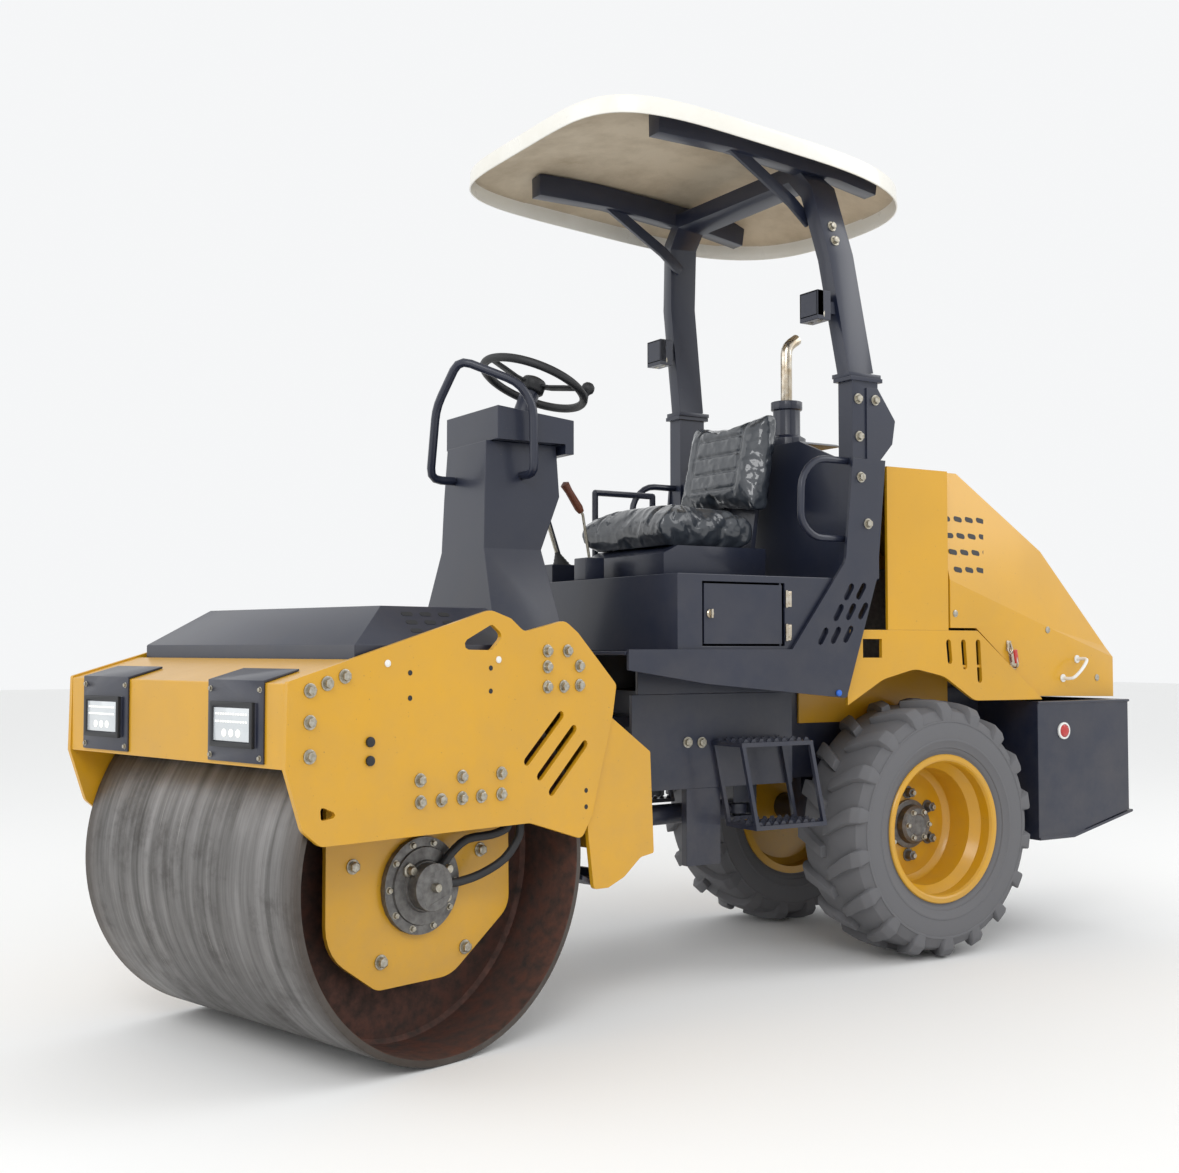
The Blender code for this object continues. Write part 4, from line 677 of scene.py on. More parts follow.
class ROLLER_OT_tyres(bpy.types.Operator):
    """The two tyres: a casing with ribbed walls and staggered bars over both shoulders"""

    bl_idname = "roller.tyres"
    bl_label = "Tyres"

    def execute(self, context):
        s = context.scene.roller_sizes
        low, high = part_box("tyre_left")
        outer, half = (high.z - low.z) / 2, (high.y - low.y) / 2
        floor = outer - s.lug
        wall = [
            (0.2078, half - 0.0225), (0.214, half - 0.0215), (0.228, half - 0.021), (0.236, half - 0.014),
            (0.241, half - 0.013), (0.243, half - 0.009), (0.262, half - 0.003), (0.264, half - 0.0015),
            (0.268, half - 0.0015),
            (0.270, half - 0.003), (0.300, half - 0.0005), (0.318, half - 0.003), (0.320, half - 0.001),
            (0.324, half - 0.001), (0.326, half - 0.005), (floor - 0.014, half - 0.020), (floor - 0.002, half - 0.048),
        ]
        inner = [(floor - 0.024, half - 0.046), (0.300, half - 0.020)]
        inner += [(0.240, half - 0.034), (0.2078, half - 0.050)]
        ring = wall + [(floor, 0.0)] + [(r, -a) for r, a in reversed(wall)]
        ring += [(r, -a) for r, a in reversed(inner)] + inner
        casing = smooth(lathe(ring, 96, True), 30)
        bars = []
        for flank, shift in ((1, 0.0), (-1, 0.5)):
            step = 2 * math.pi / s.lugs
            places = [Matrix.Rotation((i + shift) * step, 4, "Y") for i in range(s.lugs)]
            bars.append(repeated(tread_bar(outer, half, s.lug, flank), places))
        tyre = painted(join([casing, *bars]), "tyre_rubber")
        for side, sign in SIDES.items():
            spot = Matrix.Translation(TYRES[side]) @ Matrix.Rotation(0 if sign > 0 else math.pi, 4, "Z")
            piece(copy_of(tyre, spot), "tread_" + side, "wheel_" + side, ["tyre_" + side])
        bpy.data.objects.remove(tyre)
        return {"FINISHED"}


class ROLLER_OT_rims(bpy.types.Operator):
    """The two deep rims with their hubs, wheel nuts and valves"""

    bl_idname = "roller.rims"
    bl_label = "Rims"

    def execute(self, context):
        low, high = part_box("rim_left")
        flange, half = (high.z - low.z) / 2, (high.y - low.y) / 2
        seat, t = 0.2074, 0.008
        well = seat - 0.022
        disc_at = half - 0.165
        profile = [
            (flange - 0.003, half), (flange, half - 0.003), (flange, half - t + 0.001), (flange - 0.002, half - t),
            (seat, half - t), (seat, half - 0.045), (well, half - 0.070), (well, 0.070 - half), (seat, 0.045 - half),
            (seat, t - half), (flange, t - half), (flange, -half), (seat - t, -half), (seat - t, 0.045 - half),
            (well - t, disc_at - 0.014), (0.0, disc_at - 0.014), (0.0, disc_at + 0.006), (0.115, disc_at + 0.006),
            (0.130, disc_at), (0.160, disc_at - 0.003), (well - t - 0.006, disc_at + 0.004), (well - t, disc_at + 0.012),
            (well - t, half - 0.072), (seat - t, half - 0.045), (seat - t - 0.001, half - 0.010),
            (seat - t + 0.003, half - 0.003), (seat - t + 0.008, half),
        ]
        rim = painted(smooth(lathe(profile, 96, True), 28), "yellow_enamel")
        hub_profile = [
            (0.0, 0.0), (0.074, 0.0), (0.074, 0.012), (0.060, 0.016), (0.058, 0.038), (0.050, 0.046),
            (0.034, 0.048), (0.030, 0.044), (0.0, 0.044),
        ]
        place = Matrix.Translation((0, disc_at + 0.006, 0)) @ Matrix.Rotation(-math.pi / 2, 4, "X")
        hub = painted(settle(smooth(lathe(hub_profile, 48)), place), "cast_steel")
        caps = repeated(hex_bolt(0.014, 0.008, 0.018, 0.0015), around(place, 6, (0.043, 0, 0.047)))
        nut_places = around(place, 6, (0.096, 0, 0), 0.5)
        nuts = repeated(hex_bolt(0.030, 0.020, 0.040, 0.004), nut_places)
        studs = repeated(disc(0.007, 0.020, 0.033, 12), nut_places)
        painted(nuts, "cast_steel")
        painted(studs, "zinc_plated_steel")
        painted(caps, "zinc_plated_steel")
        stem = [(0.190, half - 0.085, 0), (0.182, half - 0.060, 0), (0.180, half - 0.030, 0)]
        valve = painted(pipe(stem, 0.0042), "moulded_rubber")
        wheel = join([rim, hub, nuts, studs, caps, valve])
        for side, sign in SIDES.items():
            spot = Matrix.Translation(TYRES[side]) @ Matrix.Rotation(0 if sign > 0 else math.pi, 4, "Z")
            piece(copy_of(wheel, spot), "wheel_rim_" + side, "wheel_" + side, ["rim_" + side])
        bpy.data.objects.remove(wheel)
        return {"FINISHED"}


class ROLLER_OT_plate_bolts(bpy.types.Operator):
    """The bolts, buttons and holes of the side plates and the drum's brackets, the holes being thin black discs of
    painted shade
    """

    bl_idname = "roller.plate_bolts"
    bl_label = "Plate bolts"

    def execute(self, context):
        s = context.scene.roller_sizes
        # Along and up, in metres from the drum's axle on the ground.
        nose = [(0.405, 0.842), (0.362, 0.856), (0.317, 0.870), (0.405, 0.777), (0.405, 0.707)]
        foot = [(0.111, 0.640), (-0.012, 0.640), (-0.133, 0.640)]
        foot += [(a, 0.592) for a in (0.110, 0.050, -0.012, -0.070, -0.133)]
        back = [(-0.284, 0.922), (-0.353, 0.922), (-0.284, 0.884), (-0.395, 0.885)]
        back += [(-0.284, 0.836), (-0.340, 0.836), (-0.395, 0.838)]
        for side, sign in SIDES.items():
            out = (0, sign, 0)
            # Each head stops at its own turn.
            places = [aimed((a, sign * PLATE_FACE, z), out, 20 * a) for a, z in nose + foot + back]
            bolts = repeated(hex_bolt(s.bolt, 0.009, s.washer, 0.0028), places)
            settle(painted(bolts, "zinc_plated_steel"), FRONT)
            piece(bolts, "plate_bolts_" + side, "front_frame")
            stud = lathe([(0.0, 0.0), (0.008, 0.0), (0.008, 0.002), (0.005, 0.0045), (0.0, 0.005)], 20)
            spots = [(0.203, 0.896), (-0.124, 0.902)]
            buttons = repeated(smooth(stud), [aimed((a, sign * PLATE_FACE, z), out) for a, z in spots])
            settle(painted(buttons, "white_nylon"), FRONT)
            piece(buttons, "plate_buttons_" + side, "front_frame")
            # Painted shade: thin black discs stand for the dark inside open holes in the side plates.
            hole_shade_disc = lathe([
                (0.0, 0.0), (0.006, 0.0), (0.006, 0.0006), (0.0045, 0.0006), (0.0045, 0.0002), (0.0, 0.0002),
            ], 16)
            spots = [(0.140, 0.875), (0.140, 0.820), (-0.100, 0.883), (-0.100, 0.830)]
            spots += [(-0.420, 0.580), (-0.420, 0.540)]
            holes = repeated(hole_shade_disc, [aimed((a, sign * PLATE_FACE, z), out) for a, z in spots])
            settle(painted(holes, "black_polypropylene"), FRONT)
            piece(holes, "plate_hole_shades_" + side, "front_frame")
            big = disc(0.011, 0.0, 0.006, 20)
            pair = repeated(big, [aimed((0.250, sign * PLATE_FACE, z), out) for z in (0.690, 0.730)])
            settle(painted(soften(pair, 0.001), "black_polypropylene"), FRONT)
            piece(pair, "plate_bungs_" + side, "front_frame")
            carrier = [(0.190, 0.447), (0.110, 0.226), (-0.142, 0.223), (-0.190, 0.447)]
            places = [aimed((a, sign * BRACKET_FACE, z), out) for a, z in carrier]
            bolts = repeated(hex_bolt(0.024, 0.011, 0.034, 0.003), places)
            settle(painted(bolts, "zinc_plated_steel"), FRONT)
            piece(bolts, "carrier_bolts_" + side, "front_frame")
        return {"FINISHED"}


class ROLLER_OT_motors(bpy.types.Operator):
    """The flange motors' bolts, ports and fittings, with the hoses' crimps"""

    bl_idname = "roller.motors"
    bl_label = "Drum motors"

    def execute(self, context):
        low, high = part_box("travel_motor")
        up = (low.z + high.z) / 2
        for sign in SIDES.values():
            node = "travel_motor" if sign > 0 else "vibration_motor"
            centre = Matrix.Translation((0, sign * FLANGE_FACE, up)) @ Matrix.Rotation(-sign * math.pi / 2, 4, "X")
            flange = smooth(lathe([
                (0.0, 0.0), (0.111, 0.0), (0.111, 0.003), (0.090, 0.004), (0.088, 0.009), (0.060, 0.010),
                (0.057, 0.016), (0.0, 0.016),
            ], 64))
            settle(flange, centre @ Matrix.Translation((0, 0, 0.0003)))
            painted(flange, "cast_steel")
            ring = around(centre, 10, (0.099, 0, 0.003))
            bolts = painted(repeated(hex_bolt(0.013, 0.007, 0.017, 0.001), ring), "zinc_plated_steel")
            block = box((-0.040, -0.034, 0.014), (0.040, 0.034, 0.046 if sign > 0 else 0.034))
            soften(block, 0.004, 3)
            settle(block, centre @ Matrix.Rotation(0.35, 4, "Z"))
            painted(block, "cast_steel")
            caps = []
            # Across, up and height of each fitting.
            fittings = ((0.0, 0.0, 0.060), (-0.052, 0.030, 0.034), (-0.050, -0.036, 0.042), (0.048, -0.040, 0.030))
            for x, y, tall in fittings:
                tall = tall if sign > 0 else tall * 0.55
                stub = lathe([
                    (0.0, 0.008), (0.015, 0.008), (0.015, tall * 0.5), (0.011, tall * 0.55), (0.011, tall - 0.004),
                    (0.009, tall), (0.0, tall),
                ], 24)
                stub = join([smooth(stub), disc(0.018, tall * 0.28, tall * 0.5, 6)])
                caps.append(settle(stub, centre @ Matrix.Translation((x, y, 0))))
            painted(join(caps), "zinc_plated_steel")
            item = settle(join([flange, bolts, block, bpy.data.objects[caps[0].name]]), FRONT)
            piece(item, node + "_fittings", "front_frame")
        return {"FINISHED"}


class ROLLER_OT_headlamps(bpy.types.Operator):
    """The two front lamps: a folded black panel, a bezel, a lens and rows of chips"""

    bl_idname = "roller.headlamps"
    bl_label = "Front lamps"

    def execute(self, context):
        face = 0.459
        for side, sign in SIDES.items():
            middle = sign * 0.271
            panel = node_copy("headlamp_" + side)
            soften(panel, 0.0012)
            painted(panel, "blue_black_enamel")
            piece(panel, "lamp_panel_" + side, "front_frame", ["headlamp_" + side])
            # Across and up from the lamp's centre, and out along Z before it is aimed ahead.
            spot = Matrix.Translation((face + 0.013, middle, 0.769))
            aim = spot @ Matrix(((0, 0, 1, 0), (1, 0, 0, 0), (0, 1, 0, 0), (0, 0, 0, 1)))
            bezel = box((-0.079, -0.048, -0.004), (0.079, 0.048, 0.004))
            pick(bezel, lambda f: f.normal.z > 0.9)
            bpy.ops.mesh.inset(thickness=0.010, depth=0.0)
            bpy.ops.mesh.inset(thickness=0.002, depth=-0.005)
            bezel = painted(soften(done(), 0.0012), "black_polypropylene")
            lens = box((-0.066, -0.035, -0.0015), (0.066, 0.035, 0.0015))
            soften(lens, 0.001)
            painted(lens, "clear_polycarbonate")
            bar = box((-0.0026, -0.0022, 0.0), (0.0026, 0.0022, 0.0012))
            across = [0.0093 * (i - 6) for i in range(13)]
            rows = [Matrix.Translation((x, y, 0.0014)) for y in (0.022, 0.006) for x in across]
            bars = painted(repeated(bar, rows), "led_chip")
            dots = [Matrix.Translation((x, -0.018, 0.0014)) for x in (-0.026, 0.0, 0.026)]
            bulbs = lathe([(0.0, 0.0), (0.0085, 0.0), (0.0085, 0.0008), (0.006, 0.0020), (0.0, 0.0026)], 24)
            bulbs = painted(repeated(smooth(bulbs), dots), "led_chip")
            screws = hex_bolt(0.009, 0.004, 0.013, 0.001)
            corners = [Matrix.Translation((x, y, -0.0078)) for x in (-0.092, 0.092) for y in (-0.067, 0.074)]
            screws = painted(repeated(screws, corners), "zinc_plated_steel")
            lamp = settle(join([bezel, lens, bars, bulbs, screws]), FRONT @ aim)
            piece(lamp, "lamp_glass_" + side, "front_frame")
        return {"FINISHED"}


class ROLLER_OT_roof(bpy.types.Operator):
    """The moulded roof: one crowned sheet with a turned-down lip"""

    bl_idname = "roller.roof"
    bl_label = "Roof"

    def execute(self, context):
        low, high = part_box("canopy")
        centre = (low + high) / 2
        half_x, half_y = (high.x - low.x) / 2, (high.y - low.y) / 2
        thick = 0.005

        def lip(x):
            share = (x - low.x) / (high.x - low.x)
            return low.z + (2.360 - 2.280) * share

        def surface(u, v, drop):
            """A point of the roof from its place in a square, u along and v across."""
            edge = max(abs(u), abs(v))
            power = 5.0 if u > 0 else 2.9
            reach = (abs(u) ** power + abs(v) ** power) ** (1 / power)
            scale = edge / reach if reach > 0 else 1.0
            x, y = u * scale * half_x, v * scale * half_y
            rim_x = centre.x + (x / edge if edge > 0 else 0.0)
            top = high.z - (high.z - lip(rim_x) - 0.050) * edge ** 3
            # A shallow step follows the outline where the mould's side begins.
            step = 0.006 * min(max((edge - 0.80) / 0.06, 0.0), 1.0)
            return Vector((centre.x + x, centre.y + y, top - step * (1 - edge) / 0.2 - drop))

        deselect()
        bpy.ops.mesh.primitive_grid_add(x_subdivisions=72, y_subdivisions=56, size=2)
        roof = bpy.context.active_object
        inset = 1 - 0.004 / half_y
        for vertex in roof.data.vertices:
            vertex.co = surface(vertex.co.x * inset, vertex.co.y * inset, 0.001)
        pick(roof, lambda edge: False, "EDGE")
        bpy.ops.mesh.select_non_manifold()
        bpy.ops.mesh.extrude_edges_move(TRANSFORM_OT_translate={"value": (0, 0, -0.012)})
        bpy.ops.mesh.extrude_edges_move(TRANSFORM_OT_translate={"value": (0, 0, -0.5)})
        roof = done()
        for vertex in roof.data.vertices:
            if vertex.co.z < 2.1:
                out = Vector((vertex.co.x - centre.x, vertex.co.y - centre.y))
                vertex.co.x = centre.x + out.x * (1 + 0.0025 / half_x)
                vertex.co.y = centre.y + out.y * (1 + 0.0025 / half_y)
                vertex.co.z = lip(vertex.co.x) + 0.0006
        pick(roof, lambda face: True)
        bpy.ops.mesh.normals_make_consistent(inside=False)
        done()
        modify(roof, "SOLIDIFY", thickness=thick, offset=-1.0)
        modify(roof, "BEVEL", width=0.0015, segments=2, limit_method="ANGLE", angle_limit=math.radians(50))
        painted(roof, "gelcoat_white", "glass_fibre_laminate")
        for face in roof.data.polygons:
            spot = face.center
            inside = abs(spot.x - centre.x) < half_x - 0.0125 and abs(spot.y - centre.y) < half_y - 0.0125
            face.material_index = 1 if face.normal.z < -0.25 and inside and spot.z > lip(spot.x) + 0.004 else 0
        smooth(roof, 50)
        piece(roof, "roof_moulding", "rear_frame", ["canopy"])
        return {"FINISHED"}


def stuffed(item, pressure, cap, quick):
    """Remeshes a closed form and blows it up as cloth, with no point moved further than cap."""
    modify(item, "REMESH", mode="VOXEL", voxel_size=0.006)
    if quick:
        modify(item, "SMOOTH", factor=0.6, iterations=10)
        return smooth(item, 80)
    rest = [vertex.co.copy() for vertex in item.data.vertices]
    cloth = item.modifiers.new("Cloth", "CLOTH")
    cloth.settings.quality = 5
    cloth.settings.use_pressure = True
    cloth.settings.uniform_pressure_force = pressure
    cloth.settings.effector_weights.gravity = 0.0
    cloth.settings.tension_stiffness = 12
    cloth.settings.compression_stiffness = 12
    for step in range(1, 21):
        bpy.context.scene.frame_set(step)
    only(item)
    bpy.ops.object.modifier_apply(modifier=cloth.name)
    bpy.context.scene.frame_set(1)
    for vertex, start in zip(item.data.vertices, rest):
        moved = vertex.co - start
        if moved.length > cap:
            vertex.co = start + moved.normalized() * cap
    modify(item, "SMOOTH", factor=0.5, iterations=6)
    modify(item, "SUBSURF", levels=1, render_levels=1)
    return smooth(item, 80)


class ROLLER_OT_seat(bpy.types.Operator):
    """The cushion and back, stuffed, sewn in channels and wrapped in wrinkled film"""

    bl_idname = "roller.seat"
    bl_label = "Seat"

    def execute(self, context):
        depth = context.scene.roller_sizes.film
        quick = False
        for node, name in (("seat_cushion", "cushion"), ("seat_back", "back_rest")):
            item = node_copy(node)
            low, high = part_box(node)
            centre, half = (low + high) / 2, (high - low) / 2
            shrink = Vector([1 - 0.012 / max(h, 0.02) for h in half])
            for vertex in item.data.vertices:
                vertex.co = centre + (vertex.co - centre) * shrink
            item = stuffed(item, 4.0, 0.024, quick)
            # Read before any point moves, because each read after a move works out every normal again.
            normals = [vertex.normal.copy() for vertex in item.data.vertices]
            for vertex, outward in zip(item.data.vertices, normals):
                spot = vertex.co.copy()
                across = (spot.y - centre.y) / half.y
                if node == "seat_cushion":
                    along = (spot.x - centre.x) / half.x
                    upper = min(max((spot.z - centre.z) / 0.03, 0.0), 1.0)
                    seams = [abs(across) - 0.60, along + 0.62]
                else:
                    along = (spot.z - centre.z) / half.z
                    lean = centre.x + 0.02 - 0.06 * along
                    upper = min(max((spot.x - lean) / 0.02, 0.0), 1.0)
                    seams = [abs(across) - 0.56]
                    if abs(across) < 0.56:
                        seams += [along + 0.45, along + 0.12, along - 0.22, along - 0.55]
                groove = sum(math.exp(-((seam / 0.035) ** 2)) for seam in seams)
                wave = noise.noise(spot * 26) + 0.6 * noise.noise(spot * 55 + Vector((3, 1, 2)))
                ridge = 1 - abs(noise.noise(spot * 19 + Vector((7, 0, 0)))) * 3
                lift = depth * (0.45 * wave + 0.5 * max(ridge, 0.0)) - 0.006 * min(groove, 1.0) * upper
                vertex.co = spot + outward * lift
            # The vinyl may stand a little over the form under it, most of all at the top.
            proud = (0.004, 0.004, 0.012)
            for vertex in item.data.vertices:
                for axis in range(3):
                    vertex.co[axis] = min(max(vertex.co[axis], low[axis] + 0.0004), high[axis] + proud[axis])
            painted(item, "vinyl_under_polythene")
            piece(item, name, "rear_frame", [node])
        return {"FINISHED"}


class ROLLER_OT_steering(bpy.types.Operator):
    """The steering wheel: a round rim, three dished spokes, a domed hub and a spinner knob"""

    bl_idname = "roller.steering"
    bl_label = "Steering wheel"

    def execute(self, context):
        joint = JOINTS["steering_wheel_turn"]
        place = aimed(Vector(joint["pos_m"]), joint["axis"])
        radius = 0.1525
        deselect()
        bpy.ops.mesh.primitive_torus_add(
            major_radius=radius, minor_radius=0.0122, major_segments=96, minor_segments=16
        )
        rim = smooth(bpy.context.active_object, 80)
        spoke = cut_out([
            (0.026, -0.011), (0.060, -0.012), (0.110, -0.007), (0.146, -0.003), (0.146, 0.003), (0.108, 0.001),
            (0.060, -0.004), (0.026, -0.003),
        ], -0.013, 0.013)
        spoke = soften(spoke, 0.0028, 3, 25)
        spokes = repeated(spoke, [Matrix.Rotation(math.radians(angle), 4, "Z") for angle in (0, 120, 240)])
        hub = smooth(lathe([
            (0.0, -0.030), (0.030, -0.030), (0.036, -0.024), (0.037, 0.002), (0.033, 0.010), (0.022, 0.015),
            (0.0, 0.016),
        ], 48), 50)
        knob = smooth(lathe([
            (0.0, 0.006), (0.011, 0.006), (0.009, 0.018), (0.012, 0.024), (0.018, 0.030), (0.0195, 0.038),
            (0.018, 0.047), (0.012, 0.054), (0.0, 0.056),
        ], 32), 60)
        settle(knob, Matrix.Rotation(math.radians(150), 4, "Z") @ Matrix.Translation((radius, 0, 0)))
        wheel = settle(painted(join([rim, spokes, hub, knob]), "black_polypropylene"), place)
        piece(wheel, "helm", "steering_wheel", ["steering_wheel"])
        return {"FINISHED"}


def slot_shade_patch(length, width, thick):
    """A thin black patch with round ends, lying along X and standing on Z: painted shade for the dark inside a punched
    slot.
    """
    reach, radius = (length - width) / 2, width / 2
    outline = []
    for turn in range(-90, 91, 30):
        outline.append((reach + radius * math.cos(math.radians(turn)), radius * math.sin(math.radians(turn))))
    outline += [(-x, -z) for x, z in outline]
    laid = Matrix.Rotation(math.pi / 2, 4, "X") @ Matrix.Scale(-1, 4, (0, 0, 1))
    return settle(cut_out(outline, 0.0, thick), laid)


class ROLLER_OT_vents(bpy.types.Operator):
    """The rows of punched slots in the hood's sides and in the cover over the drum, drawn as black patches of painted
    shade
    """

    bl_idname = "roller.vents"
    bl_label = "Vents"

    def execute(self, context):
        for side, sign in SIDES.items():
            # First slot, height and number of each row.
            rows = ((-0.100, 1.330, 4), (-0.100, 1.277, 5), (-0.105, 1.225, 6), (-0.115, 1.170, 7))
            places = []
            for x, z, count in rows:
                places += [beside("engine_hood", sign, x - 0.056 * i, z + 0.0008 * i) for i in range(count)]
            # Painted shade: black patches stand for the dark seen through the punched slots.
            slots = painted(repeated(slot_shade_patch(0.040, 0.017, 0.0007), places), "black_polypropylene")
            piece(flipped(slots), "hood_slots_" + side, "engine_hood")
            places = []
            heading = Matrix.Rotation(FRONT.to_euler().z, 4, "Z")
            for a in (0.075, 0.020, -0.035):
                for z in (1.006, 0.987, 0.968):
                    places.append(beside("drum_cover", sign, a, z, FRONT) @ heading)
            # Painted shade: black patches stand for the dark seen through the punched slots.
            slots = painted(repeated(slot_shade_patch(0.034, 0.012, 0.0007), places), "black_polypropylene")
            piece(flipped(slots), "cover_slots_" + side, "front_frame")
        return {"FINISHED"}


def flipped(item):
    """Turns a set of closed shapes so that all their faces point out."""
    pick(item, lambda face: True)
    bpy.ops.mesh.normals_make_consistent(inside=False)
    return done()


class ROLLER_OT_hood_fittings(bpy.types.Operator):
    """The hood's toggle latches, lift handles and quarter-turn fasteners"""

    bl_idname = "roller.hood_fittings"
    bl_label = "Hood fittings"

    def execute(self, context):
        for side, sign in SIDES.items():
            handle = pipe([
                (0.0, 0.0, 0.0), (0.0, 0.0, 0.034), (0.006, 0.0, 0.042), (0.090, 0.0, 0.042), (0.096, 0.0, 0.034),
                (0.096, 0.0, 0.0),
            ], 0.0055)
            feet = repeated(disc(0.013, 0.0, 0.003, 20), [Matrix.Translation((x, 0, 0)) for x in (0.0, 0.096)])
            spot = beside("engine_hood", sign, -0.675, 0.892)
            grip = settle(join([handle, feet]), spot @ Matrix.Rotation(sign * 0.75, 4, "Z"))
            piece(painted(grip, "white_nylon"), "hood_handle_" + side, "engine_hood")
            plate = soften(box((-0.014, -0.030, 0.0), (0.014, 0.030, 0.003)), 0.0012)
            hook = pipe([(0.0, 0.022, 0.003), (0.0, 0.020, 0.016), (0.0, -0.006, 0.018), (0.0, -0.030, 0.012)], 0.0035)
            keeper = painted(join([plate, hook]), "sanded_stainless_steel")
            arm = soften(box((-0.008, -0.034, 0.014), (0.008, 0.010, 0.021)), 0.003)
            painted(arm, "red_acrylic")
            spot = beside("engine_hood", sign, -0.352, 0.890)
            latch = settle(join([keeper, arm]), spot @ Matrix.Rotation(0.25, 4, "Z"))
            piece(latch, "hood_latch_" + side, "engine_hood")
            plate = soften(box((-0.011, -0.016, 0.0), (0.011, 0.016, 0.003)), 0.0012)
            loop = pipe([
                (-0.007, -0.010, 0.003), (-0.007, 0.022, 0.010), (0.007, 0.022, 0.010), (0.007, -0.010, 0.003),
            ], 0.0022)
            strike = painted(join([plate, loop]), "sanded_stainless_steel")
            settle(strike, beside("engine_hood", sign, -0.335, 0.935))
            piece(strike, "hood_strike_" + side, "engine_hood")
            profile = [(0.0, 0.0), (0.011, 0.0), (0.011, 0.0015), (0.007, 0.003), (0.0, 0.0035)]
            button = smooth(lathe(profile, 24))
            spots = ((-0.090, 1.034), (-0.528, 0.987), (-0.780, 0.830))
            screws = repeated(button, [beside("engine_hood", sign, x, z) for x, z in spots])
            piece(painted(screws, "zinc_plated_steel"), "hood_screws_" + side, "engine_hood")
        return {"FINISHED"}


class ROLLER_OT_frame_bolts(bpy.types.Operator):
    """The bolts of the roof posts and chassis, the rear casting's reflectors and the lifting eyes"""

    bl_idname = "roller.frame_bolts"
    bl_label = "Frame bolts"

    def execute(self, context):
        for side, sign in SIDES.items():
            plate = "rops_side_plate_" + side
            spots = [(plate, 0.330, 1.655), (plate, 0.268, 1.655), (plate, 0.326, 1.545), (plate, 0.326, 1.425)]
            spots += [(plate, 0.300, 1.290), ("rops_hoop", 0.376, 2.170), ("rops_hoop", 0.374, 2.125)]
            spots += [("chassis", 0.833, 0.665), ("chassis", 0.784, 0.663)]
            places = [beside(node, sign, x, z) for node, x, z in spots]
            bolts = repeated(hex_bolt(0.022, 0.009, 0.031, 0.003), places)
            piece(painted(bolts, "zinc_plated_steel"), "post_bolts_" + side, "rear_frame")
            dome = smooth(lathe([(0.0, 0.0), (0.021, 0.0), (0.021, 0.004), (0.015, 0.010), (0.0, 0.012)], 32))
            ring = smooth(lathe([(0.021, 0.0), (0.027, 0.0), (0.027, 0.005), (0.021, 0.006)], 32))
            spot = beside("counterweight", sign, -0.560, 0.662)
            piece(settle(painted(dome, "red_acrylic"), spot), "reflector_" + side, "rear_frame")
            piece(settle(painted(ring, "white_nylon"), spot), "reflector_rim_" + side, "rear_frame")
            cap = smooth(lathe([(0.0, 0.0), (0.009, 0.0), (0.009, 0.005), (0.006, 0.008), (0.0, 0.008)], 20))
            cap = settle(painted(cap, "blue_polythene"), beside(plate, sign, 0.417, 0.800))
            piece(cap, "drain_cap_" + side, "rear_frame")
            bends = [(-0.018, 0, 0), (-0.018, 0, 0.022), (0.0, 0, 0.036), (0.018, 0, 0.022), (0.018, 0, 0)]
            eye = pipe(bends, 0.007)
            hit, normal = touch("counterweight", (-0.700, sign * 0.25, 1.2), (0, 0, -1))
            piece(settle(painted(eye, "blue_black_enamel"), aimed(hit, normal)), "tie_eye_" + side, "rear_frame")
        return {"FINISHED"}


class ROLLER_OT_doors(bpy.types.Operator):
    """The doors' hinge leaves and locks"""

    bl_idname = "roller.doors"
    bl_label = "Door fittings"

    def execute(self, context):
        for side, sign in SIDES.items():
            knuckle = pipe([(0.0, -0.024, 0.004), (0.0, 0.024, 0.004)], 0.0042, 4, False)
            leaf = soften(box((-0.020, -0.022, 0.0), (0.0, 0.022, 0.0018)), 0.0006)
            places = [Matrix.Translation((-0.013, y, 0)) for y in (-0.013, 0.013)]
            screws = repeated(disc(0.003, 0.0018, 0.003, 12), places)
            hinge = join([knuckle, leaf, screws])
            places = [beside("operator_platform", sign, 0.598, z) for z in (1.066, 0.972)]
            hinges = painted(repeated(hinge, places), "sanded_stainless_steel")
            piece(hinges, "door_hinges_" + side, "rear_frame")
            lock = lathe([(0.0, 0.0), (0.012, 0.0), (0.012, 0.003), (0.009, 0.0055), (0.0, 0.0055)], 28)
            bar = soften(box((-0.0035, -0.012, 0.005), (0.0035, 0.012, 0.012)), 0.0012)
            lock = painted(join([smooth(lock), bar]), "sanded_stainless_steel")
            settle(lock, beside("door_" + side, sign, 0.862, 1.022))
            piece(lock, "door_lock_" + side, "door_" + side)
        return {"FINISHED"}


